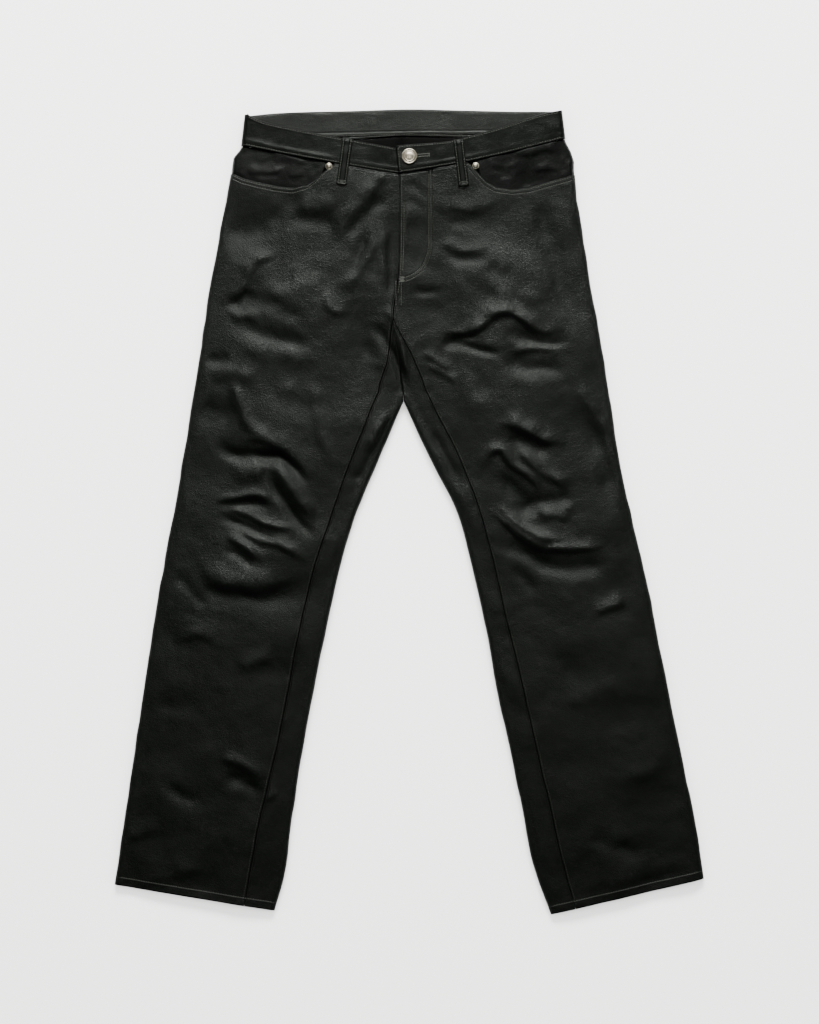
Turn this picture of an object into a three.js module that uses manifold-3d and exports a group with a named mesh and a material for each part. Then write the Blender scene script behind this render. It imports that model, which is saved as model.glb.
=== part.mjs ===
// Leather trousers laid flat with the front up, one wall of leather for each panel that is cut and sewn.
// Millimetres. +Z is up, +Y runs to the waist, and the wearer's right leg lies on the -X side.
// A "station" is a place down the garment: 0 at the waist seam, 3 where the four leg seams meet,
// 5 at the fork of the legs and 14 at the hems. Stations up the waistband are negative.
import * as THREE from "three";
import { mergeVertices } from "three/addons/utils/BufferGeometryUtils.js";
import Module from "manifold-3d";

// Driving sizes
const leather = 1.5; // wall of a leg panel
const hemWall = 2.7; // wall of the turned-up hem
const hemHeight = 13; // height of the turned-up hem
const bandWall = 3; // waistband: two layers and a stiffener
const seamGap = 0.3; // between two panels at a seam
const foldReach = 6; // how far in from the outline the rounding of a side fold goes
const seamAngle = -25; // where the side seam lies on the rounding, in degrees below its middle
const loopLift = 1.8; // the waist lies this high, on its back belt loops
const waistFold = 12; // height of the side folds at the waist, the knee and the hem
const legFold = 9.5;
const hemFold = 8;
const waistCrown = 1; // how much higher the middle of the front lies than its side folds
const legCrown = 4;
const crownReach = 45;
const foldFade = 26; // creases die out over this distance from the outline
const facingDepth = 2.2; // the pocket facing lies this far under the panel's outer face
const facingWall = 1.2;
const facingUnder = 0.12; // stations that the facing runs on under the pocket's edge
const flyUnder = 12; // the right front runs on this far under the fly's edge
const bandUnder = 30; // and the right waistband this far, to carry the button
const lapPanel = { left: 0.5, right: -1.7 }; // the left front lies over the right one at the fly
const lapBand = { left: 2, right: -1.4 };
const lapFlat = 32; // the lap keeps its step this far from the fly, and has gone by lapEnd
const lapEnd = 80;
const flyStations = [1.75, 2]; // the run under the fly ends between these stations
const lapStations = [2, 2.6]; // and the step of the lap between these
const loopWidth = 12.7;
const loopWall = 1.6;
const loopClear = 0.35; // a belt loop's slack over the waistband
const backLoopWall = 1.4;
const backLoopLength = 60;
const button = { x: 0.5, y: 449.3, radius: 9.8, height: 3.6, rim: 1.1, shank: 2.5, hole: 3.1, tail: 17, slit: 1.4 };
const rivetRadius = 4.3;
const rivetHeight = 2.1;
const forkStation = 5;
const crotchStation = 3;
const hemStation = 14;
const armStations = 0.5; // below the fork, the inner fold turns from facing down to facing sideways

function table(names, rows) {
  const keys = names.split(" ");
  return rows.map((row) => Object.fromEntries(keys.map((key, i) => [key, row[i]])));
}

// Outline of each leg: outer edge, inner edge, and how far the inseam lies in from the inner edge.
// Above the fork, the inner end is the centre seam on top, shared by both sides. Sag bows a row down.
const legs = {
  right: table("outerX outerY innerX innerY lip sag", [
    [-213.4, 464, -12, 428, 0, 1.5],
    [-232.4, 395.6, -12, 361, 0, 0.5],
    [-243.8, 338.5, -14, 298, 0, 0],
    [-254.6, 280, -20, 244.5, 0, 0],
    [-261.6, 230.5, -13, 192, 14, 0],
    [-268, 187.3, -7, 140.3, 32, 0],
    [-280.7, 109.9, -39.4, 64.1, 33, 0],
    [-293.4, 33.7, -69.9, -10.8, 29, 0],
    [-307.3, -42.5, -90.8, -85.7, 32, 0],
    [-321.3, -118.7, -107.3, -159.4, 33, 0],
    [-332.7, -194.9, -121.9, -231.8, 32, 0],
    [-344.2, -271.1, -135.9, -306.7, 33, 0],
    [-355.6, -347.3, -147.3, -381.6, 39, 0],
    [-367, -423.5, -157.5, -456.6, 44, 0],
    [-374.7, -474.3, -170.8, -507.4, 39, 0],
  ]),
  left: table("outerX outerY innerX innerY lip sag", [
    [198.8, 473, -12, 428, 0, 3.5],
    [213.4, 395.6, -12, 361, 0, 1.5],
    [223.5, 338.5, -14, 298, 0, 0],
    [231.1, 287.7, -20, 244.5, 0, 0],
    [238.8, 245.7, -13, 192, 18, 0],
    [246.4, 205.1, -7, 140.3, 29, 0],
    [257.8, 128.9, 24.1, 71.8, 35, 0],
    [270.5, 52.7, 61, -0.6, 28, 0],
    [287, -23.5, 80.6, -73, 28, 0],
    [304.8, -99.7, 97.8, -149.2, 28, 0],
    [320, -175.9, 111.1, -224.2, 33, 0],
    [335.3, -252.1, 127.6, -300.4, 33, 0],
    [350.5, -328.3, 142.9, -374, 35, 0],
    [365.8, -404.5, 157.5, -447.7, 37, 0],
    [375.3, -466.7, 180.3, -512.4, 32, 0],
  ]),
};

// Centre back seam, from the waistband down to the fork.
const backSeam = table("x y", [
  [-10, 476.5],
  [-10, 398],
  [-10, 330],
  [-9, 266],
  [-8, 203],
  [-7, 146.3],
]);

// The pocket's edge: the station it lies at, by its share of the way from the side seam to the fly.
const pockets = {
  right: table("share station", [
    [0, 0.51],
    [0.05, 0.555],
    [0.14, 0.58],
    [0.25, 0.59],
    [0.35, 0.575],
    [0.42, 0.48],
    [0.47, 0.34],
    [0.505, 0.19],
    [0.53, 0.06],
    [0.55, 0],
  ]),
  left: table("share station", [
    [0, 0.575],
    [0.05, 0.585],
    [0.14, 0.6],
    [0.25, 0.63],
    [0.345, 0.614],
    [0.43, 0.534],
    [0.49, 0.4],
    [0.53, 0.24],
    [0.56, 0.06],
    [0.58, 0],
  ]),
};
const pocketBlend = 1.6; // below this station, the front's rows run straight again

// Top edges of the front waistband, from the side to the fly, and of the back one, from right to left.
const bandTops = {
  right: table("x y", [
    [-208.9, 504.2],
    [-190.5, 496],
    [-150.4, 486.4],
    [-113.4, 478.8],
    [-58, 468.7],
    [-12, 460],
  ]),
  left: table("x y", [
    [194.5, 509.5],
    [166.4, 503.5],
    [116.2, 487],
    [88.9, 479.4],
    [48.3, 469],
    [-12, 463.9],
  ]),
};
const backBandTop = table("x y", [
  [-208.9, 504.2],
  [-150, 508],
  [-70, 510],
  [0, 512],
  [70, 510.5],
  [140, 509],
  [194.5, 509.5],
]);

// Belt loops, by the middle of their two ends.
const frontLoops = table("name topX topY footX footY", [
  ["right_belt_loop", -77.5, 474, -85.7, 413.4],
  ["left_belt_loop", 62.2, 472, 69.5, 412.1],
]);
const backLoops = table("name x topY", [
  ["right_back_belt_loop", -130, 508],
  ["centre_back_belt_loop", -10, 511],
  ["left_back_belt_loop", 112, 509],
]);
const rivets = table("name x y", [
  ["right_pocket_rivet", -101.5, 437.3],
  ["left_pocket_rivet", 84.5, 438],
]);

// The largest creases: middle, direction in degrees, length, half width, height (minus is a trough), bow.
const creases = table("x y turn length width height bow", [
  [-196, 88, -5, 95, 15, 3.5, 0],
  [-146, 42, -53, 130, 14, 4.5, 8],
  [-178, -20, -18, 110, 13, 3.5, 0],
  [-192, -78, -5, 150, 24, 5, -8],
  [-200, 5, 0, 150, 48, 3, 0],
  [-50, 338, 67, 140, 14, 4, -6],
  [-207, 318, 52, 190, 26, -3.5, 0],
  [-110, 290, 40, 150, 30, 2.5, 0],
  [-28, 207, -56, 75, 11, -3.5, 0],
  [-6, 214, -62, 75, 10, 2.5, 0],
  [40, 344, 80, 90, 13, 2.5, 0],
  [74, 325, 8, 90, 13, -2.5, 0],
  [141, 247, -4, 140, 15, 3.5, 0],
  [166, 100, -15, 130, 15, 4.5, 5],
  [137, 48, -48, 80, 13, 4, 0],
  [176, 11, -5, 95, 15, -3.5, 0],
  [170, -32, -19, 165, 14, 5, 20],
  [172, 25, 0, 160, 50, 3, 0],
  [264, -118, 25, 60, 14, 3, 0],
  [194, 320, 87, 150, 16, -2.5, 0],
]);

// Small helpers
const radians = THREE.MathUtils.degToRad;
const mix = (a, b, share) => a + (b - a) * share;
const clamp = (value) => Math.min(1, Math.max(0, value));
function smooth(from, to, value) {
  const share = clamp((value - from) / (to - from));
  return share * share * (3 - 2 * share);
}

// A smooth curve through one column of a table.
function along(rows, key, at, first = 0, last = rows.length - 1) {
  const i = Math.min(last - 1, Math.max(first, Math.floor(at)));
  const value = (k) => {
    if (k < first) return 2 * rows[first][key] - rows[first + 1][key];
    if (k > last) return 2 * rows[last][key] - rows[last - 1][key];
    return rows[k][key];
  };
  const [a, b, c, d] = [value(i - 1), value(i), value(i + 1), value(i + 2)];
  const s = at - i;
  return b + 0.5 * s * (c - a + s * (2 * a - 5 * b + 4 * c - d + s * (3 * (b - c) + d - a)));
}

// A table's points, spaced evenly by row, at a share of the way.
function pointAlong(rows, share) {
  const at = share * (rows.length - 1);
  return new THREE.Vector2(along(rows, "x", at), along(rows, "y", at));
}

// A straight-line reading of a table of pairs.
function lookUp(rows, from, to, value) {
  const next = rows.findIndex((row) => row[from] > value);
  if (next < 0) return rows[rows.length - 1][to];
  if (next === 0) return rows[0][to];
  const [a, b] = [rows[next - 1], rows[next]];
  return mix(a[to], b[to], (value - a[from]) / (b[from] - a[from]));
}

// Heights down the garment
const lift = (station) => loopLift * (1 - smooth(0.65, 1.7, station));
const foldHeight = (station) =>
  mix(mix(waistFold, legFold, smooth(0.3, 2, station)), hemFold, smooth(9, hemStation, station));
const crownHeight = (station) =>
  mix(mix(waistCrown, legCrown, smooth(0.2, 2.4, station)), legCrown - 1, smooth(9, hemStation, station));

// The outer edge of a side, carried on up the waistband.
function outerEdge(side, station) {
  const rows = legs[side];
  const foot = new THREE.Vector2(
    along(rows, "outerX", Math.max(0, station)),
    along(rows, "outerY", Math.max(0, station)),
  );
  if (station >= 0) return foot;
  return foot.lerp(pointAlong(bandTops[side], 0), -station);
}

// The inner edge of a leg, from the fork down.
const innerEdge = (side, station) =>
  new THREE.Vector2(
    along(legs[side], "innerX", station, forkStation),
    along(legs[side], "innerY", station, forkStation),
  );

// Where a row of the top ends: on the centre seam above the fork, and at the inner edge below it.
function rowEnd(side, station) {
  if (station >= forkStation) {
    const rise = foldReach * (1 - smooth(forkStation, forkStation + armStations, station));
    return innerEdge(side, station).add(new THREE.Vector2(0, rise));
  }
  const end = new THREE.Vector2(
    along(legs[side], "innerX", station, 0, forkStation),
    along(legs[side], "innerY", station, 0, forkStation),
  );
  const fork = smooth(forkStation - 1, forkStation, station);
  return end.add(new THREE.Vector2(0, foldReach * fork));
}

function row(side, station) {
  const start = outerEdge(side, station);
  const end = rowEnd(side, station);
  const way = end.clone().sub(start);
  const width = way.length();
  way.normalize();
  return { start, end, way, width };
}

// How far a row of the front hangs below its straight line, at a run in from the outer edge.
function sagAt(side, station, run, width) {
  const share = clamp(run / width);
  return along(legs[side], "sag", Math.max(0, station)) * 4 * share * (1 - share);
}

// Outlines as lines of points, to measure distances from.
const range = (from, to, count) => Array.from({ length: count + 1 }, (_, i) => mix(from, to, i / count));
const outlines = [
  range(-1, hemStation, 90).map((station) => outerEdge("right", station)),
  range(-1, hemStation, 90).map((station) => outerEdge("left", station)),
  [
    ...range(hemStation, forkStation, 54).map((station) => innerEdge("right", station)),
    ...range(forkStation, hemStation, 54).map((station) => innerEdge("left", station)),
  ],
];

function distanceTo(line, x, y) {
  let least = Infinity;
  for (let i = 1; i < line.length; i += 1) {
    const [a, b] = [line[i - 1], line[i]];
    const [ex, ey] = [b.x - a.x, b.y - a.y];
    const share = clamp(((x - a.x) * ex + (y - a.y) * ey) / (ex * ex + ey * ey || 1));
    least = Math.min(least, Math.hypot(x - a.x - share * ex, y - a.y - share * ey));
  }
  return least;
}

function creaseHeight(x, y) {
  let sum = 0;
  for (const crease of creases) {
    const turn = radians(crease.turn);
    const [dx, dy] = [x - crease.x, y - crease.y];
    const run = (dx * Math.cos(turn) + dy * Math.sin(turn)) / (crease.length / 2);
    if (Math.abs(run) > 1) continue;
    const off = dy * Math.cos(turn) - dx * Math.sin(turn) + crease.bow * (1 - run * run);
    sum += crease.height * Math.exp(-((off / crease.width) ** 2)) * Math.cos((run * Math.PI) / 2) ** 2;
  }
  return sum;
}

// Height of the front's outer face.
function topHeight(x, y, station) {
  const distance = Math.min(...outlines.map((line) => distanceTo(line, x, y)));
  const fold = foldHeight(station);
  const round = Math.sqrt(1 - (1 - clamp(distance / foldReach)) ** 2);
  const crown = crownHeight(station) * (1 - Math.exp(-Math.max(0, distance - foldReach) / crownReach));
  const crease = creaseHeight(x, y) * smooth(foldReach, foldFade, distance);
  return lift(station) + (fold / 2) * (1 + round) + crown + crease;
}

// The step where the left side lies over the right one at the fly.
function lapHeight(steps, side, x, station) {
  const reach = 1 - smooth(lapFlat, lapEnd, Math.abs(x + 12));
  return steps[side] * reach * (1 - smooth(...lapStations, station));
}

// A point on the rounding of a side fold, by its angle above the middle of the fold.
function onFold(edge, inwards, angle, station) {
  const turn = radians(angle);
  const reach = foldReach * (1 - Math.cos(turn));
  const height = lift(station) + (foldHeight(station) / 2) * (1 + Math.sin(turn));
  return new THREE.Vector3(edge.x + inwards.x * reach, edge.y + inwards.y * reach, height);
}

// The side seam's two edges stand off by this angle, and both are cut square to the seam's own line.
const foldGapAngle = THREE.MathUtils.radToDeg(seamGap / 2 / (foldReach - 1.5));
const frontLean = -foldGapAngle / (90 - seamAngle - foldGapAngle);
const backLean = -foldGapAngle / (90 + seamAngle - foldGapAngle);

// Outer face of a front: across 0 to 1 is the side fold, and 1 to 2 runs in to the fly or the inseam.
function frontFace(side, station, across, reachOn = 0) {
  const { start, way, width } = row(side, station);
  if (across < 1) {
    return onFold(start, way, mix(seamAngle + foldGapAngle, 90, across), station);
  }
  const lip = station > crotchStation ? along(legs[side], "lip", station, crotchStation) : 0;
  const far = width - lip - seamGap / 2 + reachOn;
  const run = mix(foldReach, far, across - 1);
  const sag = sagAt(side, station, run - foldReach, width - foldReach);
  const [x, y] = [start.x + way.x * run, start.y + way.y * run - sag];
  const height = topHeight(x, y, station) + lapHeight(lapPanel, side, x, station);
  return new THREE.Vector3(x, y, height);
}

// Outer face of a back: 0 to 1 is the side fold, 1 to 2 the underside, 2 to 3 the inner fold, 3 to 4 the
// strip that shows on the front between the inner edge and the inseam.
function backFace(side, station, across) {
  const { start, end, way, width } = row(side, station);
  const sign = side === "right" ? -1 : 1;
  const gap = new THREE.Vector2((sign * seamGap) / 2, 0);
  const turned = smooth(forkStation, forkStation + armStations, station);
  const inwards = new THREE.Vector2(0, 1).lerp(way.clone().negate(), turned).normalize();
  if (across < 1) {
    return onFold(start, way, mix(seamAngle - foldGapAngle, -90, across), station);
  }
  if (across <= 2) {
    const near = start.clone().addScaledVector(way, foldReach);
    const far =
      station >= forkStation
        ? innerEdge(side, station).addScaledVector(inwards, foldReach)
        : pointAlong(backSeam, station / forkStation);
    if (station <= forkStation) far.add(gap);
    const at = near.lerp(far, across - 1);
    return new THREE.Vector3(at.x, at.y, lift(station));
  }
  if (across < 3) {
    const edge = innerEdge(side, station);
    if (station <= forkStation) edge.add(gap);
    return onFold(edge, inwards, mix(-90, 90, across - 2), station);
  }
  const near =
    station >= forkStation ? innerEdge(side, station).addScaledVector(inwards, foldReach) : end.clone();
  if (station <= forkStation) near.add(gap);
  const lip = along(legs[side], "lip", station, crotchStation);
  const far = start.clone().addScaledVector(way, width - lip + seamGap / 2);
  const at = near.lerp(far, across - 3);
  return new THREE.Vector3(at.x, at.y, topHeight(at.x, at.y, station));
}

// Outer face of a front waistband, up from the waist seam (0) to its top edge (1).
function frontBandFace(side, up, across, reachOn = 0) {
  const foot = row(side, 0);
  const seam = new THREE.Vector2(0, seamGap * (1 - up));
  const edge = outerEdge(side, -up).add(seam);
  if (across < 1) {
    return onFold(edge, foot.way, mix(seamAngle + foldGapAngle, 90, across), -up);
  }
  const share = across - 1;
  const run = mix(foldReach, foot.width - seamGap / 2 + reachOn, share);
  const low = foot.start.clone().addScaledVector(foot.way, run);
  low.y -= sagAt(side, 0, run - foldReach, foot.width - foldReach);
  const inside = outerEdge(side, -1).addScaledVector(foot.way, foldReach);
  const high = inside.lerp(pointAlong(bandTops[side], clamp(run / foot.width)), smooth(0, 0.2, share));
  if (run > foot.width) high.addScaledVector(foot.way, run - foot.width);
  const at = low.lerp(high, up).add(seam);
  return new THREE.Vector3(at.x, at.y, topHeight(at.x, at.y, 0) + lapHeight(lapBand, side, at.x, 0));
}

// Outer face of the back waistband: 0 to 1 is the right fold, 1 to 2 the underside, 2 to 3 the left fold.
function backBandFace(up, across) {
  const seam = new THREE.Vector2(0, seamGap * (1 - up));
  const right = outerEdge("right", -up).add(seam);
  const left = outerEdge("left", -up).add(seam);
  const ways = [row("right", 0).way, row("left", 0).way];
  if (across < 1) {
    return onFold(right, ways[0], mix(seamAngle - foldGapAngle, -90, across), -up);
  }
  if (across > 2) {
    return onFold(left, ways[1], mix(-90, seamAngle - foldGapAngle, across - 2), -up);
  }
  const share = across - 1;
  const ends = [right.addScaledVector(ways[0], foldReach), left.addScaledVector(ways[1], foldReach)];
  const middle = new THREE.Vector2(backSeam[0].x, backSeam[0].y).add(seam);
  const low = share < 0.5 ? ends[0].clone().lerp(middle, share * 2) : middle.lerp(ends[1], share * 2 - 1);
  const high = pointAlong(backBandTop, share);
  high.lerp(ends[0], 1 - smooth(0, 0.12, share)).lerp(ends[1], smooth(0.88, 1, share));
  const at = low.lerp(high, up);
  return new THREE.Vector3(at.x, at.y, lift(-up));
}

// The unit normal of a face at a place, by small steps along and across, inside its limits.
function normalAt(face, place, limits, flip) {
  const step = 0.004;
  const side = (key, sign) => {
    const moved = { ...place };
    moved[key] = Math.min(limits[key][1], Math.max(limits[key][0], place[key] + sign * step));
    return face(moved.down, moved.across);
  };
  const down = side("down", 1).sub(side("down", -1));
  const across = side("across", 1).sub(side("across", -1));
  return down.cross(across).normalize().multiplyScalar(flip ? -1 : 1);
}

// A closed wall over a grid of rows and columns: an outer and an inner skin, joined round the edge of
// the cells that are kept. Depth moves the whole wall in from the face.
function wall({ face, downs, columns, flip, thickness, depth = 0, kept = () => true }) {
  const skins = [[], []];
  for (const down of downs) {
    for (const column of columns) {
      const at = { down, ...column(down) };
      const limits = { down: [downs[0], downs[downs.length - 1]], across: at.limits };
      const point = face(at.down, at.across);
      const normal = normalAt(face, { down: at.down, across: at.lean ?? at.across }, limits, flip);
      skins[0].push(point.clone().addScaledVector(normal, -depth));
      skins[1].push(point.clone().addScaledVector(normal, -depth - thickness(down)));
    }
  }
  const count = columns.length;
  const points = [...skins[0], ...skins[1]];
  const inside = skins[0].length;
  const faces = [];
  const quad = (a, b, c, d) => {
    if (flip) faces.push(a, c, b, a, d, c);
    else faces.push(a, b, c, a, c, d);
  };
  const has = (i, j) => i >= 0 && j >= 0 && i < downs.length - 1 && j < count - 1 && kept(downs[i], j);
  for (let i = 0; i < downs.length - 1; i += 1) {
    for (let j = 0; j < count - 1; j += 1) {
      if (!has(i, j)) continue;
      const a = i * count + j;
      const [b, c, d] = [a + count, a + count + 1, a + 1];
      quad(a, b, c, d);
      quad(inside + a, inside + d, inside + c, inside + b);
      if (!has(i - 1, j)) quad(a, d, inside + d, inside + a);
      if (!has(i + 1, j)) quad(c, b, inside + b, inside + c);
      if (!has(i, j - 1)) quad(b, a, inside + a, inside + b);
      if (!has(i, j + 1)) quad(d, c, inside + c, inside + d);
    }
  }
  const geometry = new THREE.BufferGeometry().setFromPoints(points);
  geometry.setIndex(faces);
  return geometry.toNonIndexed();
}

// Rows down a panel, closer together where it creases.
const join = (...parts) => parts.flatMap((part, i) => (i ? part.slice(1) : part));
const hemStart = hemStation - hemHeight / 52;
const downs = join(
  range(0, 1.6, 8),
  range(1.6, crotchStation, 5),
  range(crotchStation, forkStation, 7),
  range(forkStation, 9.5, 23),
  range(9.5, hemStart, 9),
  range(hemStart, hemStation, 1),
);
const wallAt = (station) => mix(leather, hemWall, smooth(hemStart - 0.02, hemStart + 0.02, station));

// Columns that keep to one place across all the way down, with the lean of a side seam at their ends.
function straight(values, limits, leans = {}) {
  return values.map((across) => () => ({ across, limits, lean: leans[across] }));
}

// A front's columns: each starts at the pocket's edge or the waist seam.
function frontColumns(side) {
  const shares = [0, 0.09, 0.18, 0.27, 0.36, 0.43, 0.48, 0.515, 0.56, 0.62, 0.7, 0.78, 0.86, 0.93, 1];
  const column = (across, share) => (station) => {
    const top = lookUp(pockets[side], "share", "station", share);
    const down = station < pocketBlend ? mix(top, pocketBlend, station / pocketBlend) : station;
    return { across, down, limits: [-1, 2], lean: across === 0 ? frontLean : across };
  };
  return [
    ...range(0, 1, 3).map((across) => column(across, 0)),
    ...shares.slice(1).map((share) => column(1 + share, share)),
  ];
}

function front(side) {
  const under = side === "right" ? flyUnder : 0;
  const reach = (station) => under * (1 - smooth(...flyStations, station));
  return wall({
    face: (station, across) => frontFace(side, station, across, reach(station)),
    downs,
    columns: frontColumns(side),
    flip: side === "left",
    thickness: wallAt,
  });
}

function back(side) {
  const places = [0, 0.5, 1, 1.33, 1.67, 2, 2.25, 2.5, 2.75, 3, 3.34, 3.67, 4];
  const [foldStart, lipStart] = [places.indexOf(2), places.indexOf(3)];
  const firstLip = downs[downs.indexOf(crotchStation) + 1];
  const kept = (station, j) => {
    if (j < foldStart) return true;
    return station >= (j < lipStart ? forkStation : firstLip) - 1e-6;
  };
  // Above the fork, the underside and the strip on top are parted, and each has its own limits.
  const column = (across) => (station) => {
    const lean = across === 0 ? backLean : across;
    if (station > forkStation) return { across, lean, limits: [-1, 4] };
    return { across, lean, limits: across <= 2 ? [-1, 2] : [across < 3 ? 2 : 3, 4] };
  };
  const safe = (station, across) => backFace(side, across > 2 ? Math.max(station, firstLip) : station, across);
  return wall({
    face: (station, across) => safe(across > 2 && across < 3 ? Math.max(station, forkStation) : station, across),
    downs,
    columns: places.map(column),
    flip: side === "right",
    thickness: wallAt,
    kept,
  });
}

function pocketFacing(side) {
  const shares = [0, 0.1, 0.2, 0.3, 0.38, 0.44, 0.49, 0.53];
  const column = (across, share) => (down) => ({
    across,
    down: down * (lookUp(pockets[side], "share", "station", share) + facingUnder),
    limits: [-1, 2],
    lean: across === 0 ? frontLean : across,
  });
  return wall({
    face: (station, across) => frontFace(side, station, across),
    downs: range(0, 1, 4),
    columns: [
      ...range(0, 1, 3).map((across) => column(across, 0)),
      ...shares.slice(1).map((share) => column(1 + share, share)),
    ],
    flip: side === "left",
    thickness: () => facingWall,
    depth: facingDepth,
  });
}

function frontBand(side) {
  const under = side === "right" ? bandUnder : 0;
  return wall({
    face: (up, across) => frontBandFace(side, up, across, under),
    downs: range(0, 1, 3),
    columns: straight([...range(0, 1, 3), ...range(1, 2, 13).slice(1)], [-1, 2], { 0: frontLean }),
    flip: side === "right",
    thickness: () => bandWall,
  });
}

const backBand = () =>
  wall({
    face: backBandFace,
    downs: range(0, 1, 3),
    columns: straight([0, 0.5, ...range(1, 2, 14), 2.5, 3], [-1, 4], { 0: backLean, 3: 3 - backLean }),
    flip: false,
    thickness: () => bandWall,
  });

// A belt loop on the front, from the waistband's top edge down on to the panel.
function frontLoop(loop) {
  const side = loop.topX < 0 ? "right" : "left";
  const way = new THREE.Vector2(loop.footX - loop.topX, loop.footY - loop.topY);
  const sideways = new THREE.Vector2(-way.y, way.x).normalize();
  const heightAt = (x, y) => {
    const lap = lapHeight(lapBand, side, x, 0);
    return topHeight(x, y, 0.3) + Math.max(lap, 0) + loopClear + loopWall;
  };
  const face = (down, across) => {
    const x = loop.topX + way.x * down + sideways.x * loopWidth * (across - 0.5);
    const y = loop.topY + way.y * down + sideways.y * loopWidth * (across - 0.5);
    return new THREE.Vector3(x, y, heightAt(x, y));
  };
  return wall({
    face,
    downs: range(0, 1, 6),
    columns: straight([0, 0.5, 1], [0, 1]),
    flip: false,
    thickness: () => loopWall,
  });
}

// A back belt loop is pressed flat under the waist.
function backLoop(loop) {
  const geometry = new THREE.BoxGeometry(loopWidth, backLoopLength, backLoopWall);
  return geometry.translate(loop.x, loop.topY - backLoopLength / 2, backLoopWall / 2);
}

const bandHeight = (side, x, y) => topHeight(x, y, 0) + lapHeight(lapBand, side, x, 0);

// A shank button: a low dome with a rim, and the shank down through the buttonhole.
function buttonGeometry() {
  const seat = bandHeight("left", button.x, button.y) + seamGap;
  const foot = bandHeight("right", button.x, button.y) + seamGap;
  const profile = [
    [0, foot - seat],
    [button.shank, foot - seat],
    [button.shank, 0],
    [button.radius - 1, 0],
    [button.radius, 0.8],
    [button.radius, button.height - button.rim - 0.6],
    [button.radius - 0.7, button.height - button.rim],
    [button.radius - 1.8, button.height - button.rim],
    [button.radius - 2.6, button.height - button.rim - 0.5],
    [button.radius * 0.5, button.height - 0.4],
    [0, button.height],
  ];
  const points = profile.map(([radius, height]) => new THREE.Vector2(radius, height));
  return new THREE.LatheGeometry(points, 24).rotateX(Math.PI / 2).translate(button.x, button.y, seat);
}

function rivetGeometry(rivet) {
  const side = rivet.x < 0 ? "right" : "left";
  const seat = topHeight(rivet.x, rivet.y, 0.15) + seamGap + 0.1;
  const arc = range(0, 90, 4).map(radians);
  const dome = arc.map((turn) => new THREE.Vector2(rivetRadius * Math.cos(turn), 0.5 + (rivetHeight - 0.5) * Math.sin(turn)));
  dome[dome.length - 1].x = 0;
  const points = [new THREE.Vector2(0, 0), new THREE.Vector2(rivetRadius, 0), ...dome];
  const lap = Math.max(0, lapHeight(lapPanel, side, rivet.x, 0));
  return new THREE.LatheGeometry(points, 16).rotateX(Math.PI / 2).translate(rivet.x, rivet.y, seat + lap);
}

// The tool that cuts the keyhole buttonhole, through the waistband.
function buttonholeTool() {
  const shape = new THREE.Shape();
  const half = button.slit / 2;
  const turn = Math.asin(half / button.hole);
  shape.absarc(0, 0, button.hole, turn, 2 * Math.PI - turn, false);
  shape.lineTo(button.hole + button.tail, -half);
  shape.lineTo(button.hole + button.tail, half);
  shape.closePath();
  const tool = new THREE.ExtrudeGeometry(shape, { depth: 20, bevelEnabled: false, curveSegments: 14 });
  return tool.rotateZ(radians(5)).translate(button.x, button.y, 5);
}

const wasm = await Module();
wasm.setup();

function solidOf(geometry) {
  const bare = new THREE.BufferGeometry();
  const source = geometry.index ? geometry.toNonIndexed() : geometry;
  bare.setAttribute("position", source.getAttribute("position"));
  const merged = mergeVertices(bare, 1e-3);
  const mesh = new wasm.Mesh({
    numProp: 3,
    vertProperties: merged.attributes.position.array,
    triVerts: new Uint32Array(merged.index.array),
  });
  return new wasm.Manifold(mesh);
}

function cut(geometry, tool) {
  const mesh = solidOf(geometry).subtract(solidOf(tool)).getMesh();
  const result = new THREE.BufferGeometry();
  result.setAttribute("position", new THREE.BufferAttribute(mesh.vertProperties, 3));
  result.setIndex(new THREE.BufferAttribute(mesh.triVerts, 1));
  return result;
}

// Finishes, each as its own material
const finishes = {
  leather: { color: 0x1b1c1b, roughness: 0.42, metalness: 0 },
  facing: { color: 0x151615, roughness: 0.38, metalness: 0 },
  loop: { color: 0x171817, roughness: 0.5, metalness: 0 },
  nickel: { color: 0xd8d4c8, roughness: 0.28, metalness: 1 },
};

const trousers = new THREE.Group();
function add(name, geometry, finish) {
  const mesh = new THREE.Mesh(geometry, new THREE.MeshStandardMaterial(finishes[finish]));
  mesh.name = name;
  trousers.add(mesh);
}

for (const side of ["right", "left"]) {
  add(`${side}_front`, front(side), "leather");
  add(`${side}_back`, back(side), "leather");
  add(`${side}_pocket_facing`, pocketFacing(side), "facing");
}
add("right_waistband", frontBand("right"), "leather");
add("left_waistband", cut(frontBand("left"), buttonholeTool()), "leather");
add("back_waistband", backBand(), "leather");
for (const loop of frontLoops) add(loop.name, frontLoop(loop), "loop");
for (const loop of backLoops) add(loop.name, backLoop(loop), "loop");
add("waist_button", buttonGeometry(), "nickel");
for (const rivet of rivets) add(rivet.name, rivetGeometry(rivet), "nickel");

export default trousers;
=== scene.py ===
import bmesh
import bpy
import numpy as np
from mathutils import Matrix, Vector
from mathutils.bvhtree import BVHTree


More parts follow.
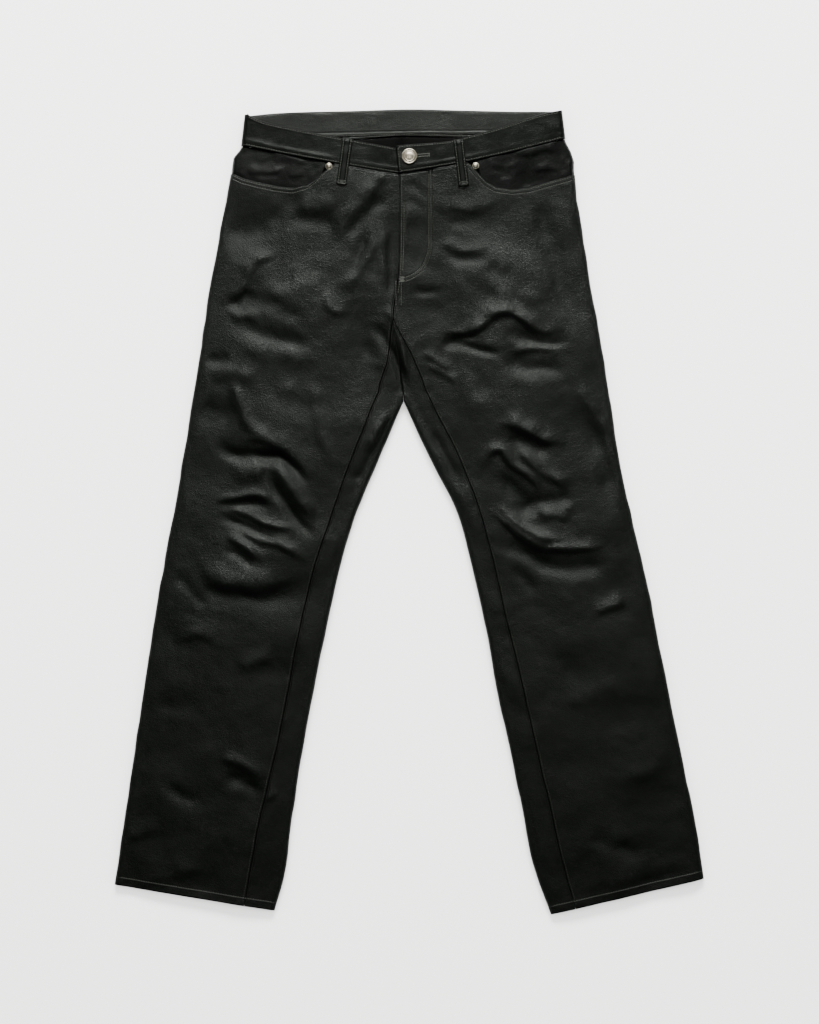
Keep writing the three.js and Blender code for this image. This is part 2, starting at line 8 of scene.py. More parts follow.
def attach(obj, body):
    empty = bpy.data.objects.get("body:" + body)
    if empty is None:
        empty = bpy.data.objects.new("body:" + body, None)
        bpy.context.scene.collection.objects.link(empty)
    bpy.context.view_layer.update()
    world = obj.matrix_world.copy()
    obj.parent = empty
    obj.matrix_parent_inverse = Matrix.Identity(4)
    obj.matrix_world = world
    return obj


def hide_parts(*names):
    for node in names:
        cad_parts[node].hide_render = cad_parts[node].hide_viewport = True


# Leather trousers laid flat with the front up. +Z is up and +Y runs to the waist.
# Sizes are millimetres until a mesh is filled, and places on the plan are complex numbers, x + y j.
# A station is a place down the garment: 0 at the waist seam, 3 where the leg seams meet,
# 5 at the fork of the legs and 14 at the hems. Stations up the waistband are negative.
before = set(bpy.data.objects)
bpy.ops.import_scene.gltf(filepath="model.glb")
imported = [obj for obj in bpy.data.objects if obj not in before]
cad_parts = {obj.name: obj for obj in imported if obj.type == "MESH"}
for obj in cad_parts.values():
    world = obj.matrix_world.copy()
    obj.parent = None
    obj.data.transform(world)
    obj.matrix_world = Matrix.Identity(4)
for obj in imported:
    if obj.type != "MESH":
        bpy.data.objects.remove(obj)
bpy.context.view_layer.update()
print("frame loaded")

photo = {"mmPerPixel": 1.27, "middleX": 409, "middleY": 511.5}


def onPlan(photoX, photoY):
    step = photo["mmPerPixel"]
    return (photoX - photo["middleX"]) * step + 1j * (photo["middleY"] - photoY) * step


def table(names, rows):
    return dict(zip(names.split(), np.array(rows, float).T))


def inScene(name, data):
    thing = bpy.data.objects.new(name, data)
    bpy.context.collection.objects.link(thing)
    return thing


def meshOf(name, form):
    mesh = bpy.data.meshes.new(name)
    form.to_mesh(mesh)
    form.free()
    return mesh


# Camera, light and floor
cameraData = bpy.data.cameras.new("camera")
cameraData.lens = 72
cameraData.sensor_width = 36
camera = inScene("camera", cameraData)
camera.location = (0.0006, -0.0006, 2.61)
bpy.context.scene.camera = camera


def softbox(name, power, size, place, aim, glossy=True):
    lamp = bpy.data.lights.new(name, "AREA")
    lamp.shape = "RECTANGLE"
    lamp.size, lamp.size_y = size
    lamp.energy = power
    box = inScene(name, lamp)
    box.location = place
    box.rotation_euler = (Vector(aim) - Vector(place)).to_track_quat("-Z", "Y").to_euler()
    box.visible_glossy = glossy  # the fill and side lights whiten the floor, with no shine on the leather


softbox("fillLight", power=110, size=(3.6, 0.8), place=(0, -3, 1.2), aim=(0, -0.3, 0), glossy=False)
softbox("keyLight", power=540, size=(2.4, 1.1), place=(0, 3.2, 2.1), aim=(0, 0, 0))
for sign in (-1, 1):
    softbox("topLight", power=8, size=(0.45, 0.28), place=(sign * 0.3, 0.3, 1.9), aim=(sign * 0.3, 0.3, 0))
    softbox("sideLight", power=45, size=(0.6, 2), place=(sign * 2.1, 0.1, 1.1), aim=(0, 0.1, 0), glossy=False)

world = bpy.data.worlds.new("studio")
world.use_nodes = True
bpy.context.scene.world = world
print("camera and softboxes set")

# The kinds of node in use, and the output that is read from each
nodeOutputs = {
    "Attribute": "Fac", "Bump": "Normal", "LightPath": "Is Glossy Ray", "MapRange": "Result", "Math": "Value",
    "Mix": "Result", "TexCoord": "Object", "TexNoise": "Fac", "TexVoronoi": "Distance", "TexWave": "Fac",
    "ValToRGB": "Color",
}


# Materials
def linear(colour):
    parts = [int(colour[i:i + 2], 16) / 255 for i in (1, 3, 5)]
    return [c / 12.92 if c <= 0.04045 else ((c + 0.055) / 1.055) ** 2.4 for c in parts] + [1]


def addNode(material, kind, settings=None, **links):
    node = material.node_tree.nodes.new("ShaderNode" + kind)
    for key, value in (settings or {}).items():
        if isinstance(key, str) and hasattr(node, key):
            setattr(node, key, value)
        else:
            node.inputs[key].default_value = value
    for socket, source in links.items():
        place = int(socket[1:]) if socket[0] == "_" else socket
        material.node_tree.links.new(source, node.inputs[place])
    return node.outputs[nodeOutputs[kind]]


# A pale room that whitens the floor and the backdrop, and hardly shines on the leather
roomLight, roomShine = 0.9, 0.03
room = world.node_tree.nodes["Background"]
room.inputs["Color"].default_value = (1, 1, 1, 1)
roomStrength = addNode(
    world, "MapRange", {"To Min": roomLight, "To Max": roomShine}, Value=addNode(world, "LightPath"))
world.node_tree.links.new(roomStrength, room.inputs["Strength"])


def newMaterial(name, colour, roughness, metallic=0, **sockets):
    material = bpy.data.materials.new(name)
    material.use_nodes = True
    shader = material.node_tree.nodes["Principled BSDF"]
    shader.inputs["Base Color"].default_value = linear(colour)
    shader.inputs["Roughness"].default_value = roughness
    shader.inputs["Metallic"].default_value = metallic
    for key, value in sockets.items():
        shader.inputs[key.replace("_", " ")].default_value = value
    return material


def finished(material, **sockets):
    shader = material.node_tree.nodes["Principled BSDF"]
    for key, source in sockets.items():
        material.node_tree.links.new(source, shader.inputs[key.replace("_", " ")])
    return material


def mixColours(material, factor, dark, light):
    return addNode(material, "Mix", {"data_type": "RGBA", 6: linear(dark), 7: linear(light)}, _0=factor)


# Noise with lumps of a size in mm
def noise(material, where, size, detail, roughness=0.5):
    settings = {"Scale": 1000 / size, "Detail": detail, "Roughness": roughness}
    return addNode(material, "TexNoise", settings, Vector=where)


def bumpOn(material, height, depth, **under):
    return addNode(material, "Bump", {"Distance": depth}, Height=height, **under)


# A profile across a seam: heights at distances in from the edge, read from an attribute in mm.
def seamProfile(material, attribute, reach, stops):
    way = addNode(material, "Attribute", {"attribute_name": attribute})
    share = addNode(material, "MapRange", {"From Max": reach}, Value=way)
    profile = addNode(material, "ValToRGB", Fac=share)
    ramp = profile.node.color_ramp.elements
    for index, (place, height) in enumerate(stops):
        if index < 2:
            stop = ramp[index]
            stop.position = place / reach
        else:
            stop = ramp.new(place / reach)
        stop.color = (height, height, height, 1)
    return profile


# Full-grain cowhide, drum dyed black and lightly plated: a satin black whose grain breaks up highlights.
# Real grain cells are about 0.8 mm wide and are drawn 1.9 mm wide, so that they show from this far.
def cowhide(name, dark, light, roughness, shine, grain=1, seams=()):
    tint = (0.95, 1, 0.92, 1)
    material = newMaterial(name, dark, roughness, IOR=1.46, Specular_IOR_Level=shine, Specular_Tint=tint)
    where = addNode(material, "TexCoord")
    cellSettings = {"feature": "DISTANCE_TO_EDGE", "Scale": 1000 / 1.9}
    cells = addNode(material, "TexVoronoi", cellSettings, Vector=where)
    cellShare = addNode(material, "MapRange", {"From Max": 0.35}, Value=cells)
    pores = noise(material, where, 3.2, 3, 0.6)
    rumple = noise(material, where, 13, 3, 0.55)
    patches = noise(material, where, 45, 2)
    # Painted light: the colour is lighter on crests and darker in troughs, read from the crest attribute.
    # That is a painted highlight on the crests and painted shade in the troughs. It lies over random patches
    # of tone and the pores of the grain, and the same mix sets the roughness.
    crest = addNode(material, "Attribute", {"attribute_name": "crest"})
    toneAndCreaseShading = addNode(material, "Math", {"operation": "MULTIPLY_ADD", 1: 0.5}, _0=crest, _2=patches)
    toneAndCreaseShading = addNode(material, "Math", {"operation": "MULTIPLY_ADD", 1: 0.5}, _0=pores, _2=toneAndCreaseShading)
    toneAndCreaseShading = addNode(material, "Math", {"operation": "SUBTRACT", 1: 0.25, "use_clamp": True}, _0=toneAndCreaseShading)
    colour = mixColours(material, toneAndCreaseShading, dark, light)
    glossRange = {"To Min": roughness + 0.08, "To Max": roughness - 0.08}
    gloss = addNode(material, "MapRange", glossRange, Value=toneAndCreaseShading)
    bump = bumpOn(material, rumple, 0.0004)
    bump = bumpOn(material, pores, 0.00042 * grain, Normal=bump)
    bump = bumpOn(material, cellShare, 0.00022 * grain, Normal=bump)
    for attribute, reach, depth, stops in seams:
        height = seamProfile(material, attribute, reach, stops)
        # Painted highlight: the raised ribs beside each seam are coloured lighter.
        ribHighlight = addNode(material, "MapRange", {"From Min": 0.82}, Value=height)
        colour = addNode(material, "Mix", {"data_type": "RGBA", 7: linear("#0b0c0a")}, _0=ribHighlight, _6=colour)
        bump = bumpOn(material, height, depth, Normal=bump)
    return finished(material, Base_Color=colour, Roughness=gloss, Normal=bump)


# Distances in from an edge (mm) and heights: a pressed edge, one sewn row or two with a rib between.
oneRow = [(0, 0.2), (0.8, 0.88), (1.5, 0.9), (2.4, 0.2), (3.2, 0.7), (6, 0.6), (12, 0.6)]
twoRows = [
    (0, 0), (0.8, 0.86), (1.5, 0.86), (2.2, 0.1), (3.1, 0.85), (5.2, 0.85), (6.4, 0.1), (7.4, 0.6), (12, 0.6)]
jRows = [(0, 0.5), (2.6, 0.5), (3.7, 0), (4.9, 1), (7.1, 1), (8.3, 0), (9.4, 0.5), (12, 0.5)]
backRow = [(0, 0.3), (2.2, 0.4), (3, 0), (4.2, 0.94), (5.8, 0.94), (7, 0.2), (8.5, 0.6), (12, 0.6)]
hemRow = [(0, 0.2), (0.9, 0.7), (9.6, 0.7), (10.6, 0.1), (11.6, 0.6), (16, 0.5)]
panelSeams = [
    ("seamWay", 12, 0.0006, oneRow),
    ("pocketWay", 12, 0.001, twoRows),
    ("flyWay", 12, 0.001, jRows),
    ("hemWay", 16, 0.0008, hemRow),
]
bandSeams, backSeams = [[("bandWay", 12, 0.001, rows)] for rows in (oneRow, backRow)]
panelHide = cowhide("drumDyedCowhide", "#000100", "#040504", 0.43, 0.15, 1, panelSeams)
bandHide = cowhide("stiffenedBandCowhide", "#000100", "#030403", 0.42, 0.08, 0.6, bandSeams)
liningHide = cowhide("backBandCowhide", "#010201", "#060705", 0.45, 0.19, 0.6, backSeams)
facingHide = cowhide("pocketFacingCowhide", "#000100", "#030303", 0.43, 0.08, 0.6)
loopHide = cowhide("beltLoopCowhide", "#010201", "#030403", 0.45, 0.1, 0.5)


# Flesh side of the hide, split and brushed: a dull nap with no gloss.
def brushedSuede():
    material = newMaterial("brushedSuedeBack", "#030303", 0.9, Specular_IOR_Level=0.05)
    nap = noise(material, addNode(material, "TexCoord"), 1.5, 4)
    colour = mixColours(material, nap, "#020202", "#050504")
    return finished(material, Base_Color=colour, Normal=bumpOn(material, nap, 0.0004))


# Bonded polyester thread, twisted and waxed: small satin strands. The 0.6 mm twist is real.
# The thread is black; its grey colour is a painted highlight along the strands.
def waxedThread():
    material = newMaterial("waxedPolyesterThread", "#2c2e28", 0.35, Specular_IOR_Level=0.4)
    where = addNode(material, "TexCoord")
    twist = addNode(material, "TexWave", {"Scale": 1000 / 0.6 / 6.28, "Distortion": 1}, Vector=where)
    return finished(material, Normal=bumpOn(material, twist, 0.00015))


# Nickel plated on brass, tumbled to a satin shine: fine scratches and slightly dull hollows.
def satinNickel():
    material = newMaterial("satinNickelPlate", "#7d7869", 0.36, 1)
    where = addNode(material, "TexCoord")
    scratch = noise(material, where, 0.8, 4)
    dull = noise(material, where, 5, 2)
    gloss = addNode(material, "MapRange", {"To Min": 0.26, "To Max": 0.5}, Value=dull)
    colour = mixColours(material, dull, "#4e4a40", "#aaa493")
    return finished(material, Base_Color=colour, Roughness=gloss, Normal=bumpOn(material, scratch, 0.00006))


suede = brushedSuede()
thread = waxedThread()
nickel = satinNickel()
print("materials made")

floorGrid = bmesh.new()
bmesh.ops.create_grid(floorGrid, x_segments=2, y_segments=2, size=25)
floor = inScene("floor", meshOf("floor", floorGrid))
floor.location.z = -0.0005
floor.data.materials.append(newMaterial("mattPaper", "#f7f7f5", 0.8))

# The garment's own shape, in mm and degrees: gaps between panels, the folds along the edges, the swell
# of the waist and legs, how far a piece runs on under or past the next, and the size of the waistband
seamGap = 0.3
foldReach = 6
seamAngle = -25
foldGapAngle = np.degrees(0.15 / 4.5)
frontAngle = seamAngle + foldGapAngle
backAngle = seamAngle - foldGapAngle
loopLift = 1.8
waistFold = 12
legFold = 9.5
hemFold = 8
waistCrown = 1
legCrown = 4
crownReach = 45
facingDepth = 2
facingUnder = 0.12
flyUnder = 12
bandUnder = 30
tabReach = 1.5
tabLean = 3.7
bandTall = 35.5
backBandTall = 35
frontLength = 205
lapPanel = {"left": 0.5, "right": -1.7}
lapBand = {"left": 2, "right": -1.4}
crotchStation, forkStation, hemStation = 3, 5, 14
underShift = 31 + 24j

legs = {
    "right": table("outerX outerY innerX innerY lip sag", [
        [-213.4, 464, -12, 428, 0, 1.5],
        [-232.4, 395.6, -12, 361, 0, 0.5],
        [-243.8, 338.5, -14, 298, 0, 0],
        [-254.6, 280, -20, 244.5, 0, 0],
        [-261.6, 230.5, -13, 192, 14, 0],
        [-268, 187.3, -7, 140.3, 32, 0],
        [-280.7, 109.9, -39.4, 64.1, 33, 0],
        [-293.4, 33.7, -69.9, -10.8, 29, 0],
        [-307.3, -42.5, -90.8, -85.7, 32, 0],
        [-321.3, -118.7, -107.3, -159.4, 33, 0],
        [-332.7, -194.9, -121.9, -231.8, 32, 0],
        [-344.2, -271.1, -135.9, -306.7, 33, 0],
        [-355.6, -347.3, -147.3, -381.6, 39, 0],
        [-367, -423.5, -157.5, -456.6, 44, 0],
        [-374.7, -474.3, -170.8, -507.4, 39, 0],
    ]),
    "left": table("outerX outerY innerX innerY lip sag", [
        [198.8, 473, -12, 428, 0, 3.5],
        [213.4, 395.6, -12, 361, 0, 1.5],
        [223.5, 338.5, -14, 298, 0, 0],
        [231.1, 287.7, -20, 244.5, 0, 0],
        [238.8, 245.7, -13, 192, 18, 0],
        [246.4, 205.1, -7, 140.3, 29, 0],
        [257.8, 128.9, 24.1, 71.8, 35, 0],
        [270.5, 52.7, 61, -0.6, 28, 0],
        [287, -23.5, 80.6, -73, 28, 0],
        [304.8, -99.7, 97.8, -149.2, 28, 0],
        [320, -175.9, 111.1, -224.2, 33, 0],
        [335.3, -252.1, 127.6, -300.4, 33, 0],
        [350.5, -328.3, 142.9, -374, 35, 0],
        [365.8, -404.5, 157.5, -447.7, 37, 0],
        [375.3, -466.7, 180.3, -512.4, 32, 0],
    ]),
}
backSeam = table("x y", [[-10, 476.5], [-10, 398], [-10, 330], [-9, 266], [-8, 203], [-7, 146.3]])
pockets = {
    "right": table("share station", [
        [0, 0.51], [0.05, 0.555], [0.14, 0.58], [0.25, 0.59], [0.35, 0.575],
        [0.42, 0.48], [0.47, 0.34], [0.505, 0.19], [0.53, 0.06], [0.55, 0],
    ]),
    "left": table("share station", [
        [0, 0.575], [0.05, 0.585], [0.14, 0.6], [0.25, 0.63], [0.345, 0.614],
        [0.43, 0.534], [0.49, 0.4], [0.53, 0.24], [0.56, 0.06], [0.58, 0],
    ]),
}
bandTops = {
    "right": table("x y", [
        [-208.9, 504.2], [-190.5, 496], [-150.4, 486.4], [-113.4, 478.8], [-58, 468.7], [-12, 460]]),
    "left": table("x y", [
        [194.5, 509.5], [166.4, 503.5], [116.2, 487], [88.9, 479.4], [48.3, 469], [-12, 463.9]]),
}
backBandTop = table("x y", [
    [-208.9, 504.2], [-150, 508], [-70, 510], [0, 512], [70, 510.5], [140, 509], [194.5, 509.5]])

# Creases as lines over the photograph: half width and height in mm (minus is a trough), lean, how much
# broader the side on the left of the line is than the one on its right, and the places along the line
creases = [dict(zip("width height lean photoX photoY".split(), row)) for row in [
    # Inside the pocket mouths
    [5, 1.4, 0.3, [243, 258, 274, 290], [170, 173, 171, 165]],
    [4, 1, 0.3, [288, 298, 308], [176, 177, 174]],
    [4, 0.9, 0, [280, 296, 309], [156, 160, 164]],
    [5, 1.4, 0.3, [508, 526, 546, 561], [153, 156, 150, 153]],
    [4, 1.1, 0.3, [532, 547, 562], [171, 168, 171]],
    [4, 1, 0, [492, 508, 520], [163, 166, 163]],
    # Right thigh, from the fly out
    [9, 2.4, 0.2, [333, 348, 378, 386], [242, 217, 184, 172]],
    [8, -2.8, 0, [343, 365, 391], [240, 217, 188]],
    [8, 3, -0.2, [379, 373, 356, 347], [217, 250, 273, 297]],
    [7, -3, 0, [369, 358, 346], [226, 257, 280]],
    [5, 2.2, 0, [386, 382, 383], [222, 257, 288]],
    [8, -3.2, 0, [393, 392, 390], [200, 255, 318]],
    [17, -4, 0, [222, 255, 285, 298], [250, 230, 210, 188]],
    [11, -2.8, 0, [283, 312, 344], [219, 222, 227]],
    [11, 2.4, 0.3, [294, 318, 340], [208, 207, 203]],
    [8, 3.2, 0.4, [216, 242, 256, 284], [309, 289, 263, 252]],
    [11, -3.6, 0, [228, 243, 252], [310, 301, 288]],
    [10, -2.8, 0, [253, 282, 306], [296, 311, 319]],
    [8, 2.6, 0.3, [228, 246, 262], [322, 318, 321]],
    [10, -3.8, 0, [232, 272, 316], [326, 337, 349]],
    [16, 2.6, 0.3, [236, 280, 330], [346, 357, 362]],
    [5, 1.8, 0, [327, 332, 348], [286, 310, 314]],
    [17, -3.2, 0, [352, 362, 358], [300, 340, 392]],
    [9, -2.6, 0, [203, 216, 232], [356, 361, 355]],
    [11, 2.8, 0.3, [208, 232, 258], [380, 374, 382]],
    [15, 1.8, 0.2, [270, 300, 322], [384, 392, 410]],
    # Right knee
    [17, -4.2, 0, [197, 215, 236], [406, 413, 420]],
    [7, 3.6, -0.2, [259, 246, 238, 235], [444, 420, 396, 376]],
    [8, -6, 0, [213, 230, 260, 281, 297, 313], [438, 452, 458, 458, 470, 488]],
    [9, 4, 0.5, [238, 267, 291, 316], [438, 442, 457, 487]],
    [8, 2.2, 0, [313, 321, 334], [376, 427, 474]],
    [13, 3.2, 0.3, [228, 250, 268], [477, 474, 478]],
    [8, 5, 0.3, [270, 293, 316], [461, 491, 524]],
    [6, -4.6, 0, [262, 282, 298, 316], [468, 497, 523, 540]],
    [5, 3, 0.4, [212, 250, 275], [502, 495, 501]],
    [5, -2.6, 0, [213, 250, 276], [508, 503, 509]],
    [5, 3.2, 0.4, [224, 247, 274, 298], [504, 513, 527, 531]],
    [6, -3.4, 0, [216, 238, 262, 280], [516, 523, 534, 541]],
    [6, 3.8, 0.4, [234, 260, 283, 314], [526, 540, 548, 562]],
    [6, 3.6, 0.4, [224, 243, 267], [534, 547, 563]],
    [6, -2.8, 0, [222, 240, 258], [546, 557, 569]],
    [13, 5.2, 0.45, [198, 213, 234, 267, 304], [553, 578, 585, 585, 573]],
    [12, -3.2, 0, [196, 214, 240, 275, 308], [572, 594, 600, 600, 590]],
    [7, -2, 0, [172, 193, 209], [568, 593, 611]],
    [7, 3, 0.2, [363, 380, 394], [457, 428, 408]],
    [6, -2.2, 0, [352, 366, 376], [482, 470, 446]],
    # Right shin and hem
    [10, 2.6, 0.3, [172, 196, 218], [642, 634, 638]],
    [9, 2.2, 0.3, [236, 256, 276], [668, 660, 656]],
    [7, 3.6, 0.4, [218, 240, 266], [756, 764, 780]],
    [8, -3.4, 0, [220, 242, 266], [776, 782, 797]],
    [9, -2.8, 0, [160, 176, 190, 206], [772, 792, 800, 796]],
    [9, 2.4, 0.3, [120, 142, 162], [838, 832, 828]],
    [14, 2.6, 0.3, [132, 168, 210], [882, 873, 866]],
    [5, 2, 0.3, [261, 270, 279], [804, 797, 788]],
    [12, -1.4, 0, [150, 176, 200], [700, 706, 702]],
    # Left thigh
    [9, 2.2, 0.4, [441, 450, 474, 502], [216, 206, 210, 200]],
    [8, -1.8, 0, [445, 464, 488], [222, 221, 217]],
    [7, 1.8, 0.4, [438, 456, 490], [242, 250, 249]],
    [7, -2.2, 0, [438, 457, 474, 492], [250, 259, 260, 256]],
    [10, -2, 0, [487, 500, 522], [262, 275, 271]],
    [15, -4.2, 0, [536, 548, 558, 568], [190, 232, 275, 322]],
    [8, 3.4, 0, [574, 588, 602, 612], [205, 280, 348, 400]],
    [14, -3.4, 0, [441, 440, 447], [252, 290, 338]],
    [8, 4.8, 0.5, [440, 460, 476, 493, 510, 527, 547, 570], [328, 333, 328, 317, 314, 325, 331, 326]],
    [7, -4, 0, [512, 532, 550, 570], [328, 340, 343, 338]],
    [6, -2, 0, [442, 460, 484], [342, 339, 334]],
    [6, -3.4, 0, [440, 457, 483, 506], [350, 345, 351, 356]],
    [8, 3.2, 0.3, [505, 532, 562], [352, 347, 350]],
    [9, -3.6, 0, [504, 533, 570], [359, 368, 369]],
    [5, 2.2, 0.3, [421, 437, 453], [350, 361, 372]],
    [5, 2, 0.3, [426, 441, 458], [363, 372, 384]],
    [14, 2.2, 0, [452, 470, 486], [366, 390, 418]],
    [5, -2.2, 0, [410, 424, 442], [290, 293, 290]],
    # Left knee
    [8, 3.4, 0, [572, 588, 608, 621, 635], [362, 402, 432, 482, 540]],
    [13, -3.8, 0, [566, 588, 603, 618], [392, 432, 465, 520]],
    [8, 4.4, 0.5, [497, 517, 543, 570], [420, 426, 440, 443]],
    [8, -3.6, 0, [508, 528, 556], [433, 444, 455]],
    [6, 4.2, 0.4, [481, 489, 502, 513, 533, 542], [474, 455, 450, 465, 480, 490]],
    [10, -5.4, 0, [498, 510, 524, 536], [470, 487, 503, 517]],
    [8, 3.4, 0.3, [520, 530, 553, 570], [444, 461, 477, 489]],
    [9, -3.6, 0, [522, 548, 576], [500, 500, 497]],
    [9, 3, 0.3, [538, 555, 572], [520, 514, 520]],
    [5, 3, 0.3, [495, 517, 543, 574], [502, 524, 538, 541]],
    [6, 4.6, 0.5, [487, 507, 527, 553, 580, 612], [506, 525, 540, 549, 550, 541]],
    [11, -4.8, 0, [494, 518, 553, 585, 614], [526, 550, 565, 567, 560]],
    [8, -2, 0, [508, 524, 540], [566, 580, 597]],
    [9, 2.8, 0.4, [592, 608, 626], [614, 606, 598]],
    [6, 2.6, 0, [418, 440, 456, 464], [434, 467, 500, 524]],
    [5, -2, 0, [424, 446, 462], [420, 456, 486]],
    # Left shin and hem
    [16, 1.8, 0.3, [560, 600, 644], [702, 696, 690]],
    [12, 2, 0.3, [598, 632, 672], [782, 776, 764]],
    [10, -2, 0, [586, 612, 644], [832, 846, 852]],
    [12, 2.4, 0.3, [606, 646, 694], [884, 872, 860]],
    # Crotch and fly
    [6, -4, 0, [371, 384, 398, 404], [322, 335, 366, 402]],
    [5, 3, 0, [382, 395, 404, 408], [306, 325, 352, 378]],
    [9, -2.8, 0, [420, 421, 421], [208, 244, 280]],
    [6, -1.2, 0, [405, 417, 431], [181, 190, 203]],
    [7, -1, 0, [404, 416, 428], [201, 206, 215]],
    [2.6, 2, 0, [407, 406, 403], [202, 230, 262]],
]]
# Broad swells and hollows: how far they reach across and down, in mm
swells = table("photoX photoY across down height", [
    [297, 305, 60, 60, 4],
    [515, 303, 58, 60, 4],
    [409, 163, 150, 36, 2.8],
    [255, 560, 48, 34, 3],
    [545, 525, 52, 36, 2.5],
    [255, 395, 50, 40, 2],
    [500, 400, 52, 40, 2],
    [197, 690, 60, 90, 1.5],
    [605, 690, 60, 90, 1.5],
    [365, 350, 26, 52, -2.5],
    [427, 320, 24, 46, -2.5],
])
print("tables read")


def smooth(low, high, value):
    share = np.clip((value - low) / (high - low), 0, 1)
    return share * share * (3 - 2 * share)


def mix(a, b, share):
    return a + (b - a) * share


# A smooth curve through one column of a table
def along(column, at, first=0, last=None):
    part = column[first:None if last is None else last + 1]
    part = np.concatenate([[2 * part[0] - part[1]], part, [2 * part[-1] - part[-2]]])
    at = np.asarray(at, float) - first
    i = np.clip(np.floor(at), 0, len(part) - 4).astype(int)
    s = at - i
    a, b, c, d = part[i], part[i + 1], part[i + 2], part[i + 3]
    return b + 0.5 * s * (c - a + s * (2 * a - 5 * b + 4 * c - d + s * (3 * (b - c) + d - a)))


def curveOf(rows, x, y, at, first=0, last=None):
    return along(rows[x], at, first, last) + 1j * along(rows[y], at, first, last)


def pointAlong(rows, share):
    return curveOf(rows, "x", "y", np.asarray(share, float) * (len(rows["x"]) - 1))


# A rounded hump that falls away on both sides of its middle
def hump(value, middle, width):
    return np.exp(-(((value - middle) / width) ** 2))


# Soft, even noise over the plan, from -1 to 1, with lumps about as wide as size
def softNoise(plan, size, seed):
    lattice = np.random.default_rng(seed).uniform(-1, 1, (300, 300))
    x, y = plan.real / size + 150, plan.imag / size + 150
    i, j = np.floor(x).astype(int) % 299, np.floor(y).astype(int) % 299
    s, t = x - np.floor(x), y - np.floor(y)
    s, t = s * s * (3 - 2 * s), t * t * (3 - 2 * t)
    low = mix(lattice[i, j], lattice[i + 1, j], s)
    high = mix(lattice[i, j + 1], lattice[i + 1, j + 1], s)
    return mix(low, high, t)


def liftAt(station):
    return loopLift * (1 - smooth(0.65, 1.7, station))


def foldHeight(station):
    upper = mix(waistFold, legFold, smooth(0.3, 2, station))
    return mix(upper, hemFold, smooth(9, hemStation, station))


def crownHeight(station):
    upper = mix(waistCrown, legCrown, smooth(0.2, 2.4, station))
    return mix(upper, legCrown - 1, smooth(9, hemStation, station))


# How far the hip stands out below the waistband, in mm
hipStep = table("station right left", [
    [0, 0, 0], [0.06, -1, 1], [0.2, -6.5, 5], [0.35, -5, 6.5], [0.5, -3, 4], [1, 0, 0]])


# The outer edge wavers a little, as real cloth does, in the same way for the front and the back
def outerEdge(side, station):
    below = np.maximum(0, station)
    foot = curveOf(legs[side], "outerX", "outerY", below)
    waver = softNoise(foot, 19, 5) * 0.7 * smooth(0.6, 1.2, station) * (1 - smooth(13.2, 13.8, station))
    waver = waver + np.interp(below, hipStep["station"], hipStep[side])
    top = pointAlong(bandTops[side], 0)
    return mix(foot, top, np.clip(-station, 0, 1)) + waver


def innerEdge(side, station):
    edge = curveOf(legs[side], "innerX", "innerY", station, forkStation)
    return edge + softNoise(edge, 23, 6) * 0.6 * smooth(5.2, 5.8, station) * (1 - smooth(13.2, 13.8, station))


def rowEnd(side, station):
    upper = curveOf(legs[side], "innerX", "innerY", np.minimum(station, forkStation), 0, forkStation)
    upper = upper + 1j * foldReach * smooth(forkStation - 1, forkStation, station)
    lower = innerEdge(side, np.maximum(station, forkStation))
    lower = lower + 1j * foldReach * (1 - smooth(forkStation, forkStation + 0.5, station))
    return np.where(station >= forkStation, lower, upper)


def sideRow(side, station):
    start, end = outerEdge(side, station), rowEnd(side, station)
    width = abs(end - start)
    return start, end, (end - start) / width, width


def lipAt(side, station):
    lip = along(legs[side]["lip"], np.maximum(station, crotchStation), crotchStation)
    return np.where(station > crotchStation, lip, 0)


outlines = [outerEdge(side, np.linspace(-1, hemStation, 160)) for side in legs]
outlines.append(np.concatenate([
    innerEdge("right", np.linspace(hemStation, forkStation, 100)),
    innerEdge("left", np.linspace(forkStation, hemStation, 100)),
]))
hemLines = {side: np.array([outerEdge(side, hemStation), rowEnd(side, hemStation)]) for side in legs}


def distanceTo(line, plan):
    least = np.full(plan.shape, 1e9)
    for a, b in zip(line[:-1], line[1:]):
        edge = b - a
        share = np.clip(((plan - a) * edge.conjugate()).real / (abs(edge) ** 2 + 1e-9), 0, 1)
        least = np.minimum(least, abs(plan - a - share * edge))
    return least


def creaseLine(crease):
    at = np.linspace(0, len(crease["photoX"]) - 1, 25)
    photoX, photoY = [along(np.array(crease[key], float), at) for key in ("photoX", "photoY")]
    return onPlan(photoX, photoY)


def creaseHeight(plan):
    # Places are pushed about first, so that no crease runs quite straight or keeps its height
    pushed = plan + 2.4 * softNoise(plan, 24, 11) + 2.4j * softNoise(plan, 24, 12)
    uneven = 0.86 + 0.24 * softNoise(plan, 17, 13)
    total = np.zeros(plan.shape)
    for crease in creases:
        line, wide = creaseLine(crease), crease["width"]
        reach = wide * 3.2
        low, high = line.real.min() - reach, line.real.max() + reach
        near = (pushed.real > low) & (pushed.real < high)
        near &= (pushed.imag > line.imag.min() - reach) & (pushed.imag < line.imag.max() + reach)
        if not near.any():
            continue
        here = pushed[near]
        least, side, share = np.full(here.shape, 1e9), np.zeros(here.shape), np.zeros(here.shape)
        for step, (a, b) in enumerate(zip(line[:-1], line[1:])):
            local = (here - a) / (b - a)
            run = np.clip(local.real, 0, 1)
            away = abs(local - run) * abs(b - a)
            closer = away < least
            least = np.where(closer, away, least)
            side = np.where(closer, np.sign(local.imag), side)
            share = np.where(closer, (step + run) / 24, share)
        taper = smooth(0, 0.3, share) * (1 - smooth(0.7, 1, share))
        total[near] += crease["height"] * taper * hump(least, 0, wide * (1 + crease["lean"] * side))
    for photoX, photoY, across, down, height in zip(*swells.values()):
        away = plan - onPlan(photoX, photoY)
        total += height * np.exp(-((away.real / across) ** 2) - ((away.imag / down) ** 2))
    return total * uneven


